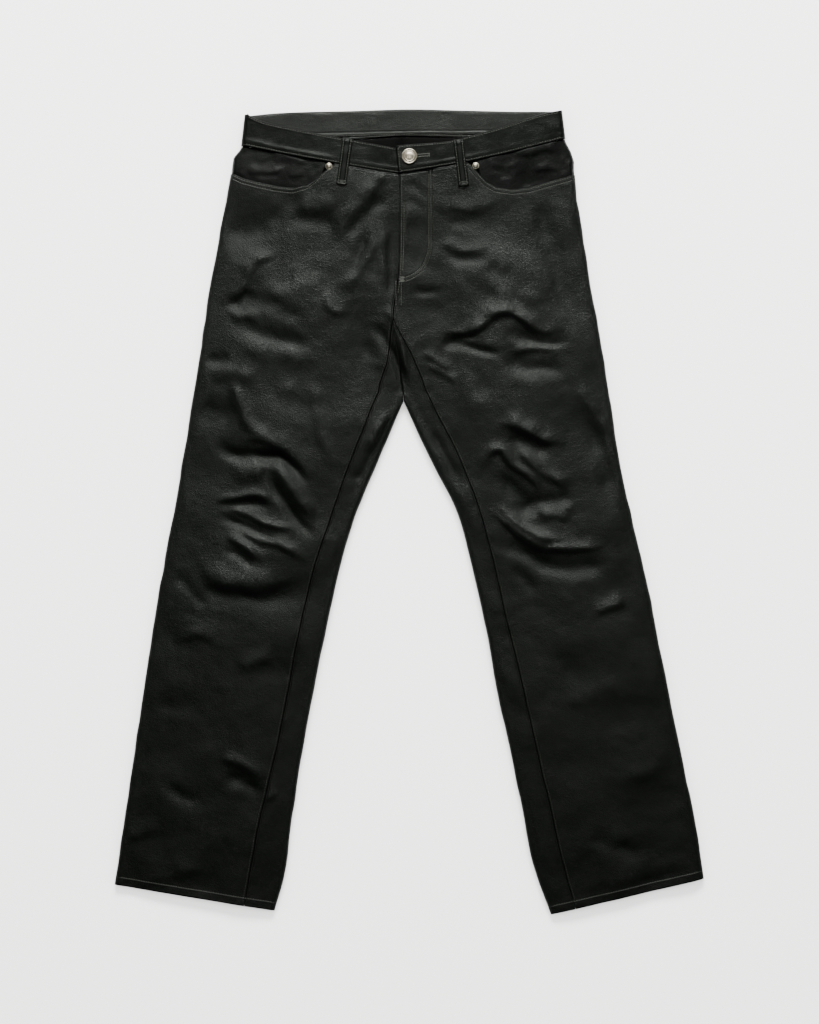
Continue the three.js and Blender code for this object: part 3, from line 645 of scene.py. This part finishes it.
def smallFolds(plan):
    return (
        2.2 * softNoise(plan, 52, 21) + 0.7 * softNoise(plan * np.exp(0.5j), 26, 22)
        + 0.22 * softNoise(plan * np.exp(1.1j), 11, 23) + 0.1 * softNoise(plan, 6, 24)
    )


def topHeight(plan, station, calm=1):
    distance = np.minimum.reduce([distanceTo(line, plan) for line in outlines])
    fold = foldHeight(station)
    rounded = np.sqrt(1 - (1 - np.clip(distance / foldReach, 0, 1)) ** 2)
    crown = crownHeight(station) * (1 - np.exp(-np.maximum(0, distance - foldReach) / crownReach))
    relief = creaseHeight(plan) + smallFolds(plan) * calm
    return liftAt(station) + fold / 2 * (1 + rounded) + crown + relief * smooth(5, 15, distance)


def lapHeight(steps, side, plan, station):
    reach = 1 - smooth(32, 80, abs(plan.real + 12))
    return steps[side] * reach * (1 - smooth(2, 2.6, station))


def onFold(edge, inwards, angle, station):
    turn = np.radians(angle)
    height = liftAt(station) + foldHeight(station) / 2 * (1 + np.sin(turn))
    return edge + inwards * foldReach * (1 - np.cos(turn)), height


# An edge that is turned in and sewn rolls down at its end
def rolled(way, drop, reach=1.2):
    share = np.clip(way / reach, 0, 1)
    return -drop * (1 - np.sqrt(1 - (1 - share) ** 2))


# Leather puckers beside its sewing
def pucker(plan, way):
    return softNoise(plan, 9, 31) * 0.35 * hump(way, 0, 10)


# A place on the front, run mm in from its outer edge: near the waist the middle of a row hangs lower
def sagged(side, station, run):
    start, end, way, width = sideRow(side, station)
    share = np.clip((run - foldReach) / (width - foldReach), 0, 1)
    sag = along(legs[side]["sag"], np.maximum(0, station)) * 4 * share * (1 - share)
    return start + way * run - 1j * sag


def frontPlace(side, station, across, inset=0, reachOn=0):
    start, end, way, width = sideRow(side, station)
    far = width - lipAt(side, station) - seamGap / 2 + reachOn
    run = foldReach + (far - foldReach) * (across - 1) - inset
    plan = sagged(side, station, run)
    height = topHeight(plan, station) + lapHeight(lapPanel, side, plan, station)
    foldPlan, foldZ = onFold(start, way, mix(frontAngle, 90, np.minimum(across, 1)), station)
    return np.where(across < 1, foldPlan, plan), np.where(across < 1, foldZ, height), far - run


def backPlace(side, station, across):
    start, end, way, width = sideRow(side, station)
    inwards = 1j + (-way - 1j) * smooth(forkStation, forkStation + 0.5, station)
    inwards = inwards / abs(inwards)
    gap = (-1 if side == "right" else 1) * seamGap / 2 * (station <= forkStation)
    inner = innerEdge(side, np.maximum(station, forkStation))
    seam = pointAlong(backSeam, np.minimum(station, forkStation) / forkStation)
    near = inner + inwards * foldReach
    low = np.where(station >= forkStation, near, seam) + gap
    under = mix(start + way * foldReach, low, across - 1)
    # The underside has the same folds, shifted and less deep
    hollow = np.maximum(0, 0.45 * creaseHeight(under - underShift) + 0.5 * smallFolds(under + 40))
    edge = np.minimum(abs(under - start - way * foldReach), abs(under - low))
    underZ = liftAt(station) + hollow * smooth(2, 16, edge)
    outPlan, outZ = onFold(start, way, mix(backAngle, -90, np.minimum(across, 1)), station)
    inPlan, inZ = onFold(inner + gap, inwards, mix(-90, 90, np.clip(across - 2, 0, 1)), station)
    near = np.where(station >= forkStation, near, end) + gap
    far = start + way * (width - lipAt(side, station) + seamGap / 2)
    lip = mix(near, far, across - 3)
    lipZ = topHeight(lip, station)
    groups = [across < 1, across <= 2, across < 3, across >= 3]
    plan = np.select(groups, [outPlan, under, inPlan, lip])
    height = np.select(groups, [outZ, underZ, inZ, lipZ])
    seamWay = np.select(groups, [99, abs(under - low), 99, abs(far - lip)], 99)
    return plan, height, seamWay


def dress(piece, node):
    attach(piece, "root")
    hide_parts(node)


trees = {}


# A skin of leather over a grid: place gives each grid point its plan, height and marks
def skin(name, columns, rows, place, flip, finish, wall, keep=None, back=suede):
    grid = bmesh.new()
    bmesh.ops.create_grid(grid, x_segments=columns - 1, y_segments=rows - 1, size=1)
    if keep is not None:
        gone = []
        for face in grid.faces:
            middle = face.calc_center_median()
            if not keep(int((middle.x + 1) / 2 * (columns - 1)), int((1 - middle.y) / 2 * (rows - 1))):
                gone.append(face)
        bmesh.ops.delete(grid, geom=gone, context="FACES")
    mesh = meshOf(name + "_leather", grid)
    flat = np.empty(len(mesh.vertices) * 3)
    mesh.vertices.foreach_get("co", flat)
    flat = flat.reshape(-1, 3)
    column = np.rint((flat[:, 0] + 1) / 2 * (columns - 1)).astype(int)
    row = np.rint((1 - flat[:, 1]) / 2 * (rows - 1)).astype(int)
    plan, height, marks = place(column, row)
    points = np.stack([plan.real, plan.imag, height], axis=1) * 0.001
    mesh.vertices.foreach_set("co", points.ravel())
    for key, values in marks.items():
        mesh.attributes.new(key, "FLOAT", "POINT").data.foreach_set("value", values.astype(float))
    if flip:
        mesh.flip_normals()
    mesh.shade_smooth()
    mesh.materials.append(finish)
    mesh.materials.append(back)
    piece = inScene(name + "_leather", mesh)
    trees[name] = BVHTree.FromPolygons(
        [v.co.copy() for v in mesh.vertices], [tuple(p.vertices) for p in mesh.polygons])
    thicken = piece.modifiers.new("wall", "SOLIDIFY")
    thicken.thickness = wall * 0.001
    thicken.offset = -1
    thicken.material_offset = 1
    thicken.material_offset_rim = 0
    dress(piece, name)
    return piece


# Leg panels: rows down, closer where the garment creases
downs = np.concatenate([
    np.linspace(0, 1.6, 46), np.linspace(1.6, 3, 34)[1:], np.linspace(3, 5, 46)[1:],
    np.linspace(5, 9.5, 136)[1:], np.linspace(9.5, 13.75, 100)[1:], np.linspace(13.75, 14, 9)[1:],
])


def pocketLine(side):
    rows = pockets[side]
    shares = np.linspace(0, rows["share"][-1], 90)
    stations = np.interp(shares, rows["share"], rows["station"])
    width = sideRow(side, stations)[3]
    return sagged(side, stations, foldReach + (width - seamGap / 2 - foldReach) * shares)


pocketLines = {side: pocketLine(side) for side in legs}
fly = {"lineX": 27, "turnY": 341, "endX": -12, "endY": 294}


# Distance from the curve of the fly's stitching: inside is less than 6, outside more
def flyWay(plan):
    x, y = plan.real, plan.imag
    acrossTurn = (x - fly["endX"]) / (fly["lineX"] - fly["endX"])
    downTurn = (fly["turnY"] - y) / (fly["turnY"] - fly["endY"])
    size = np.hypot(acrossTurn, np.maximum(downTurn, 0))
    scale = mix(fly["lineX"] - fly["endX"], fly["turnY"] - fly["endY"], smooth(0, 1.2, downTurn))
    return np.clip(6 + (size - 1) * scale, 0, 12)


def waistSeam(side):
    rows = legs[side]
    start, end, way, width = sideRow(side, np.zeros(60))
    run = np.linspace(0, 1, 60) * width
    share = run / width
    return start + way * run - 1j * rows["sag"][0] * 4 * share * (1 - share)


def makeFront(side):
    name = side + "_front"
    under = flyUnder if side == "right" else 0
    shares = np.concatenate([
        np.linspace(0, 0.34, 24), np.linspace(0.34, 0.6, 30)[1:], np.linspace(0.6, 0.98, 27)[1:],
        [0.985, 1, 1, 1, 1]])
    folds = np.linspace(0, 1, 6)[:-1]
    acrosses = np.concatenate([folds, 1 + shares])
    insets = np.concatenate([np.zeros(len(acrosses) - 4), [2.4, 1.2, 0.5, 0]])
    tops = np.interp(np.maximum(0, acrosses - 1), pockets[side]["share"], pockets[side]["station"])
    tops[acrosses - 1 > pockets[side]["share"][-1]] = 0

    def place(column, row):
        station = downs[row]
        top = tops[column]
        station = np.where(station < 1.6, mix(top, 1.6, station / 1.6), station)
        reachOn = under * (1 - smooth(1.75, 2, station))
        plan, height, way = frontPlace(side, station, acrosses[column], insets[column], reachOn)
        pocketWay = distanceTo(pocketLines[side], plan)
        waistWay = distanceTo(waistSeam(side), plan)
        sewn = way if side == "left" else np.where(station < 2, 40, way)
        height = height + rolled(sewn, 0.35, 0.8) + rolled(pocketWay, 0.9) + rolled(waistWay, 0.4, 0.8)
        closest = np.minimum.reduce([sewn, pocketWay, waistWay])
        height = height + pucker(plan, closest) * (acrosses[column] >= 1)
        marks = {
            "seamWay": np.minimum(sewn, waistWay),
            "pocketWay": pocketWay,
            "hemWay": distanceTo(hemLines[side], plan),
            # crest also paints a highlight on raised folds and shade in the troughs, through the leather's
            # colour
            "crest": np.clip(creaseHeight(plan) / 4, -1, 1),
        }
        if side == "left":
            marks["flyWay"] = flyWay(plan)
        return plan, height, marks

    piece = skin(name, len(acrosses), len(downs), place, side == "left", panelHide, 1.4)


def makeBack(side):
    name = side + "_back"
    acrosses = np.concatenate([
        np.linspace(0, 1, 7)[:-1], np.linspace(1, 2, 15)[:-1], np.linspace(2, 3, 9)[:-1],
        np.linspace(3, 3.9, 13), [3.95, 3.985, 4]])
    foldStart = int(np.argmin(abs(acrosses - 2)))
    lipStart = int(np.argmin(abs(acrosses - 3)))
    firstLip = int(np.argmin(abs(downs - crotchStation))) + 1
    firstFold = int(np.argmin(abs(downs - forkStation)))

    def keep(column, row):
        if column < foldStart:
            return True
        return row >= (firstFold if column < lipStart else firstLip)

    def place(column, row):
        across, station = acrosses[column], downs[row]
        station = np.where(across > 2, np.maximum(station, downs[firstLip]), station)
        station = np.where((across > 2) & (across < 3), np.maximum(station, forkStation), station)
        plan, height, way = backPlace(side, station, across)
        onTop = across >= 3
        height = height + rolled(way, 0.35, 0.8) * onTop + pucker(plan, way) * onTop
        marks = {
            "seamWay": way,
            "hemWay": distanceTo(hemLines[side], plan),
            # crest also paints a highlight on raised folds and shade in the troughs, through the leather's
            # colour
            "crest": np.clip(creaseHeight(plan) / 4, -1, 1),
        }
        return plan, height, marks

    piece = skin(name, len(acrosses), len(downs), place, side == "right", panelHide, 1.4, keep)


for side in ("right", "left"):
    makeBack(side)
    makeFront(side)
print("leg panels made")


def makeFacing(side):
    name = side + "_pocket_facing"
    acrosses = np.concatenate([np.linspace(0, 1, 5)[:-1], 1 + np.linspace(0, 0.53, 56)])
    rows = 40

    def place(column, row):
        across = acrosses[column]
        top = np.interp(np.maximum(0, across - 1), pockets[side]["share"], pockets[side]["station"])
        station = (row / (rows - 1)) * (top + facingUnder)
        plan, height, far = frontPlace(side, station, across)
        lumps = 0.7 * softNoise(plan, 15, 41) + 0.3 * softNoise(plan, 7, 42)
        hidden = distanceTo(pocketLines[side], plan)
        lumps = lumps * smooth(0, 5, hidden) * (across >= 1)
        inward = sideRow(side, station)[2]
        angle = np.radians(mix(seamAngle, 90, np.minimum(across, 1)))
        plan = plan + inward * facingDepth * np.cos(angle) * (across < 1)
        height = height - facingDepth * np.where(across < 1, np.sin(angle), 1) + lumps
        # crest paints the lumps lighter and the dips between them darker: painted highlight and painted shade
        return plan, height, {"crest": np.clip(lumps, -1, 1)}

    piece = skin(name, len(acrosses), rows, place, side == "left", facingHide, 1.1)


# The lower end of the band runs on below the upper one, whose own end leans out a little at its top
def bandPlace(side, up, across):
    reachOn = bandUnder if side == "right" else tabReach + tabLean * up
    start, end, way, width = sideRow(side, np.zeros(np.shape(up)))
    seam = 1j * seamGap * (1 - up)
    edge = outerEdge(side, -up) + seam
    share = np.maximum(across - 1, 0)
    run = foldReach + (width - seamGap / 2 + reachOn - foldReach) * share
    low = sagged(side, np.zeros(np.shape(up)), run)
    inside = outerEdge(side, np.full(np.shape(up), -1.0)) + way * foldReach
    top = pointAlong(bandTops[side], np.clip(run / width, 0, 1))
    high = mix(inside, top, smooth(0, 0.2, share)) + way * np.maximum(0, run - width)
    plan = mix(low, high, up) + seam
    height = topHeight(plan, np.zeros(np.shape(up)), 0.5) + lapHeight(lapBand, side, plan, 0)
    foldPlan, foldZ = onFold(edge, way, mix(frontAngle, 90, np.minimum(across, 1)), -up)
    return np.where(across < 1, foldPlan, plan), np.where(across < 1, foldZ, height)


def makeBand(side):
    name = side + "_waistband"
    acrosses = np.concatenate([np.linspace(0, 1, 5)[:-1], 1 + np.linspace(0, 0.985, 84), [1.99, 1.995, 2]])
    ups = np.concatenate([[0, 0.012, 0.03], np.linspace(0.06, 0.94, 22), [0.97, 0.988, 1]])

    def place(column, row):
        up, across = ups[::-1][row], acrosses[column]
        plan, height = bandPlace(side, up, across)
        way = np.minimum(up, 1 - up) * bandTall
        if side == "left":
            way = np.minimum(way, (2 - across) * frontLength)
        ridge = hump(up * bandTall, 6.5, 2.6) * (0.6 + 0.7 * softNoise(plan, 30, 55))
        height = height + rolled(way, 0.7, 1) + ridge
        lumps = 0.6 * softNoise(plan * np.exp(0.2j), 16, 51) + 0.25 * softNoise(plan, 8, 52)
        height = height + lumps * (across >= 1)
        # crest paints the lumps lighter and the dips between them darker: painted highlight and painted shade
        return plan, height, {"bandWay": way, "crest": np.clip(lumps, -1, 1)}

    piece = skin(name, len(acrosses), len(ups), place, side == "left", bandHide, 2.8)


def makeBackBand():
    name = "back_waistband"
    acrosses = np.concatenate([np.linspace(0, 1, 6)[:-1], np.linspace(1, 2, 90)[:-1], np.linspace(2, 3, 6)])
    ups = np.concatenate([
        [0, 0.012, 0.03], np.linspace(0.055, 0.27, 16), np.linspace(0.3, 0.94, 16), [0.97, 0.988, 1]])

    def place(column, row):
        up, across = ups[::-1][row], acrosses[column]
        seam = 1j * seamGap * (1 - up)
        right, left = outerEdge("right", -up) + seam, outerEdge("left", -up) + seam
        rightWay, leftWay = sideRow("right", up * 0)[2], sideRow("left", up * 0)[2]
        rightPlan, rightZ = onFold(right, rightWay, mix(backAngle, -90, np.minimum(across, 1)), -up)
        leftPlan, leftZ = onFold(left, leftWay, mix(-90, backAngle, np.clip(across - 2, 0, 1)), -up)
        share = np.clip(across - 1, 0, 1)
        ends = [right + rightWay * foldReach, left + leftWay * foldReach]
        middle = backSeam["x"][0] + 1j * backSeam["y"][0] + seam
        low = np.where(share < 0.5, mix(ends[0], middle, share * 2), mix(middle, ends[1], share * 2 - 1))
        high = pointAlong(backBandTop, share)
        high = mix(high, ends[0], 1 - smooth(0, 0.12, share))
        high = mix(high, ends[1], smooth(0.88, 1, share))
        groups = [across < 1, across > 2]
        plan = np.select(groups, [rightPlan, leftPlan], mix(low, high, up))
        way = np.minimum(up, 1 - up) * backBandTall
        ridge = hump(up * backBandTall, 5, 1.6) * (0.8 + 0.6 * softNoise(plan, 9, 55))
        lumps = 0.5 * softNoise(plan, 18, 53) + 0.25 * softNoise(plan, 7, 54)
        inside = smooth(3, 7, way)
        flat = liftAt(-up) + rolled(way, -1.0, 1.4) + 0.9 * ridge * smooth(1.5, 3, way)
        flat = flat + 0.45 * (softNoise(plan, 22, 56) + 0.4 * softNoise(plan, 9, 57) + 0.5) * inside
        height = np.select(groups, [rightZ, leftZ], flat)
        # crest paints the ridge and lumps lighter and the dips darker: painted highlight and painted shade
        return plan, height, {"bandWay": up * backBandTall, "crest": np.clip(ridge + lumps, -1, 1)}

    piece = skin(name, len(acrosses), len(ups), place, True, liningHide, 2.8, back=liningHide)


makeBackBand()
for side in ("right", "left"):
    makeFacing(side)
    makeBand(side)
print("waistband and pocket facings made")

# Belt loops: a folded strip, raised along the middle, sewn down both sides
loops = {"width": 12.7, "wall": 1.6, "stand": 2.3, "backWall": 1, "backLength": 60}
frontLoops = {
    "right_belt_loop": (-77.5 + 474j, -85.7 + 413.4j),
    "left_belt_loop": (62.2 + 472j, 69.5 + 412.1j),
}
backLoops = {
    "right_back_belt_loop": -130 + 508j,
    "centre_back_belt_loop": -10 + 511j,
    "left_back_belt_loop": 112 + 509j,
}


def loopRelief(across, edge):
    raised = -0.35 * hump(edge, 2, 0.6) + 0.6 * smooth(2.4, 4.2, edge)
    return raised + rolled(edge, 0.8, 0.9) + 0.12 * np.cos(across * 9)


def makeFrontLoop(name, top, foot):
    way = foot - top
    sideways = 1j * way / abs(way)
    columns, rows = 25, 96
    side = name.split("_")[0]

    def place(column, row):
        down, across = row / (rows - 1), column / (columns - 1) - 0.5
        wide = loops["width"] * (1 + 0.02 * np.sin(down * 9))
        middle = top + way * down
        plan = middle + sideways * across * wide
        lap = np.maximum(0, lapHeight(lapBand, side, middle, 0))
        base = topHeight(middle, np.full(down.shape, 0.3), 0.4) + lap
        edge = (0.5 - abs(across)) * wide
        fromTop, fromFoot = down * abs(way), (1 - down) * abs(way)
        height = base + loops["stand"] + loopRelief(across, edge)
        height = height + rolled(fromTop, 3.4, 3.4)
        height = height + 0.8 * hump(fromFoot, 2, 1.6) + rolled(fromFoot, 2, 1.4)
        height = height + 0.5 * hump(fromTop, 6, 2) + 0.2 * softNoise(plan, 7, 61)
        # crest colours the loop's raised middle lighter and its rolled edges darker: painted shade at the
        # edges
        return plan, height, {"crest": 0.3 * smooth(2, 5, edge)}

    piece = skin(name, columns, rows, place, False, loopHide, loops["wall"], back=loopHide)


def makeBackLoop(name, top):
    columns, rows = 17, 61

    def place(column, row):
        down, across = row / (rows - 1), column / (columns - 1) - 0.5
        plan = top + across * loops["width"] - 1j * down * loops["backLength"]
        edge = (0.5 - abs(across)) * loops["width"]
        height = 0.35 * (1 - smooth(2.2, 4, edge)) - rolled(edge, 0.3, 0.8)
        # crest colours the loop's middle lighter and its rolled edges darker: painted shade at the edges
        return plan, height, {"crest": 0.2 * smooth(2, 5, edge)}

    piece = skin(name, columns, rows, place, True, loopHide, loops["backWall"], back=loopHide)


for name, (top, foot) in frontLoops.items():
    makeFrontLoop(name, top, foot)
for name, top in backLoops.items():
    makeBackLoop(name, top)
print("belt loops made")

# Button and rivets: profiles turned about their middle, in mm from the seat
button = {"x": 0.5, "y": 449.3}
rivets = {"right_pocket_rivet": (-101.5, 437.3), "left_pocket_rivet": (84.5, 438)}


def turned(name, profile, x, y, seat, steps):
    form = bmesh.new()
    points = [form.verts.new((radius * 0.001, 0, height * 0.001)) for radius, height in profile]
    edges = [form.edges.new(pair) for pair in zip(points[:-1], points[1:])]
    bmesh.ops.spin(
        form, geom=points + edges, cent=(0, 0, 0), axis=(0, 0, 1), angle=2 * np.pi, steps=steps,
        use_merge=True)
    bmesh.ops.remove_doubles(form, verts=form.verts, dist=1e-6)
    bmesh.ops.recalc_face_normals(form, faces=form.faces)
    bmesh.ops.translate(form, verts=form.verts, vec=(x * 0.001, y * 0.001, seat * 0.001))
    mesh = meshOf(name, form)
    mesh.shade_smooth()
    mesh.materials.append(nickel)
    piece = inScene(name + "_plated", mesh)
    dress(piece, name)


def bandTopAt(side, x, y):
    plan = np.array([x + 1j * y])
    return (topHeight(plan, np.zeros(1), 0.5) + lapHeight(lapBand, side, plan, 0))[0]


buttonSeat = bandTopAt("left", button["x"], button["y"]) + 0.5
buttonFoot = bandTopAt("right", button["x"], button["y"]) + 0.3 - buttonSeat
turned("waist_button", [
    (0, buttonFoot), (2.5, buttonFoot), (2.5, 0), (8.6, 0), (9.5, 0.3), (9.8, 0.9), (9.8, 1.6), (9.55, 2.2),
    (9.1, 2.55), (8.6, 2.6), (8.15, 2.45), (7.85, 2.1), (7.6, 1.9), (7.3, 2.0), (7.05, 2.35), (6.7, 2.75),
    (6.3, 2.85), (5.9, 2.75), (5.6, 2.6), (5.2, 2.7), (4.2, 3.05), (3.2, 3.3), (2.0, 3.5), (1.0, 3.58),
    (0, 3.6),
], button["x"], button["y"], buttonSeat, 72)
for name, (x, y) in rivets.items():
    side = name.split("_")[0]
    plan = np.array([x + 1j * y])
    seat = topHeight(plan, np.full(1, 0.15))[0] + max(0, lapHeight(lapPanel, side, plan, 0)[0]) + 0.3
    turned(name, [
        (0, 0), (4.1, 0), (4.35, 0.2), (4.3, 0.5), (3.9, 0.65), (3.6, 0.6), (3.35, 0.75), (3.0, 1.25),
        (2.4, 1.7), (1.6, 1.98), (0.8, 2.1), (0, 2.12),
    ], x, y, seat, 40)
print("button and rivets made")

# Stitching: each stitch is a small bead of thread that lies on the leather below it. The size is its
# length, width and height in mm.
beadSize = (2.2, 1, 0.7)
beadForm = bmesh.new()
bmesh.ops.create_uvsphere(beadForm, u_segments=6, v_segments=4, radius=0.5)
bead = meshOf("bead", beadForm)


def offsetLine(line, distance):
    ways = np.gradient(line)
    return line + 1j * ways / abs(ways) * distance


def sew(form, line, names, extra=0, pitch=3.2, below=False, turned90=False, size=1):
    line = np.asarray(line)
    run = np.concatenate([[0], np.cumsum(abs(np.diff(line)))])
    for place in np.arange(pitch / 2, run[-1], pitch):
        ends = [np.interp(place + step, run, line.real) + 1j * np.interp(place + step, run, line.imag)
                for step in (-0.5, 0.5)]
        spot, way = (ends[0] + ends[1]) / 2, ends[1] - ends[0]
        way = way / (abs(way) + 1e-9) * (1j if turned90 else 1)
        origin = Vector((spot.real * 0.001, spot.imag * 0.001, -0.1 if below else 0.1))
        hits = [trees[name].ray_cast(origin, Vector((0, 0, 1 if below else -1))) for name in names]
        hits = [hit for hit in hits if hit[0] is not None]
        if not hits:
            continue
        hit = min(hits, key=lambda found: found[3])
        normal = hit[1] if (hit[1].z < 0) == below else -hit[1]
        along3 = Vector((way.real, way.imag, 0))
        along3 = (along3 - normal * along3.dot(normal)).normalized()
        across3 = normal.cross(along3)
        at = hit[0] + normal * 0.00012 + Vector((0, 0, extra * 0.001))
        if below:
            at.z = max(at.z, 0.0001)
        turn = Matrix((along3, across3, normal)).transposed().to_4x4()
        matrix = Matrix.Translation(at) @ turn @ Matrix.Diagonal([s * size * 0.001 for s in beadSize] + [1])
        placed = bead.copy()
        placed.transform(matrix)
        form.from_mesh(placed)
        bpy.data.meshes.remove(placed)


def stitching(name, sewAll):
    form = bmesh.new()
    sewAll(form)
    mesh = meshOf(name, form)
    mesh.shade_smooth()
    mesh.materials.append(thread)
    piece = inScene(name, mesh)
    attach(piece, "root")


def frontLine(side, station, across, inset=0.0):
    station, across = np.broadcast_arrays(np.asarray(station, float), np.asarray(across, float))
    return frontPlace(side, station, across, inset)[0]


def sewFly(form):
    for spread in (-2, 2):
        down = np.linspace(428, fly["turnY"], 30)
        angle = np.linspace(0, np.pi / 2, 40)
        curve = (
            fly["endX"] + (fly["lineX"] - fly["endX"] + spread) * np.cos(angle)
            + 1j * (fly["turnY"] - (fly["turnY"] - fly["endY"] + spread) * np.sin(angle)))
        straight = fly["lineX"] + spread + 1j * down
        sew(form, np.concatenate([straight, curve[1:]]), ["left_front"])
    for low, high, inset in ((0.02, 2.4, 2.6), (0.6, 1.9, 5.4)):
        sew(form, frontLine("left", np.linspace(low, high, 60), 2, inset), ["left_front"])
    for x in np.linspace(-10.8, -7.4, 5):
        sew(form, x + 1j * np.linspace(298, 291, 8), ["left_front"], pitch=1.5, turned90=True)
    for x in (-13.6, -6.8):
        sew(form, x - 3 + 1j * np.linspace(293, 262, 10), ["left_front", "right_front"])


def sewPockets(form):
    for side in legs:
        sign = 1 if side == "left" else -1
        for distance in (2.3, 6.4):
            sew(form, offsetLine(pocketLines[side], sign * distance), [side + "_front"])


def sewBand(form):
    sewnIn = 2.4 / bandTall
    for side in legs:
        acrosses = np.linspace(1, 1.985 if side == "left" else 2, 120)
        for up in (sewnIn, 1 - sewnIn):
            sew(form, bandPlace(side, np.full(120, up), acrosses)[0], [side + "_waistband"])
    ups = np.linspace(0.08, 0.92, 20)
    sew(form, bandPlace("left", ups, np.full(20, 1.988))[0], ["left_waistband"])
    x = np.linspace(-190, 180, 120)
    for drop in (2.6, 32):
        top = np.interp(x, backBandTop["x"], backBandTop["y"])
        line = x + 1j * (top - drop)
        sew(form, line, ["back_waistband"], extra=2.9)
        sew(form, line, ["back_waistband"], below=True)


def sewInseams(form):
    for side in legs:
        sew(form, frontLine(side, np.linspace(3.1, 13.9, 300), 2, 2.3), [side + "_front"], size=0.6)


def sewHems(form):
    for side in legs:
        start, end, way, width = sideRow(side, hemStation)
        line = np.linspace(start + (end - start) * 0.03, start + (end - start) * 0.97, 80)
        line = line + 1j * way * (10.6 if side == "right" else -10.6)
        sew(form, line, [side + "_front", side + "_back"])
        sew(form, line, [side + "_back"], below=True)


def sewLoops(form):
    for name, (top, foot) in frontLoops.items():
        way = foot - top
        sideways = 1j * way / abs(way)
        for across in (-4.4, 4.4):
            sew(form, np.linspace(top + way * 0.05, top + way * 0.97, 30) + sideways * across, [name])
        for share in (0.915, 0.975):
            line = np.linspace(top + way * share - sideways * 4, top + way * share + sideways * 4, 12)
            sew(form, line, [name], pitch=1.2, turned90=True, size=0.8)
    for name, top in backLoops.items():
        for across in (-4.4, 4.4):
            sew(form, top + across - 1j * np.linspace(2, 58, 30), [name], below=True)


def sewButtonhole(form):
    way = np.exp(1j * np.radians(5))
    start = button["x"] + 1j * button["y"] + way * 9.5
    for offset in (-1.5, 1.5):
        line = np.linspace(start, start + way * 14.5, 30) + 1j * way * offset
        sew(form, line, ["left_waistband"], pitch=0.9, turned90=True, size=0.8)
    line = np.linspace(start + way * 15.5 - 2.4j * way, start + way * 15.5 + 2.4j * way, 12)
    sew(form, line, ["left_waistband"], pitch=0.8, turned90=True, size=0.9)


for name, sewAll in {
    "fly_stitching": sewFly, "pocket_stitching": sewPockets, "waistband_stitching": sewBand,
    "inseam_stitching": sewInseams, "hem_stitching": sewHems, "belt_loop_stitching": sewLoops,
    "buttonhole_stitching": sewButtonhole,
}.items():
    stitching(name, sewAll)
print("stitching made")
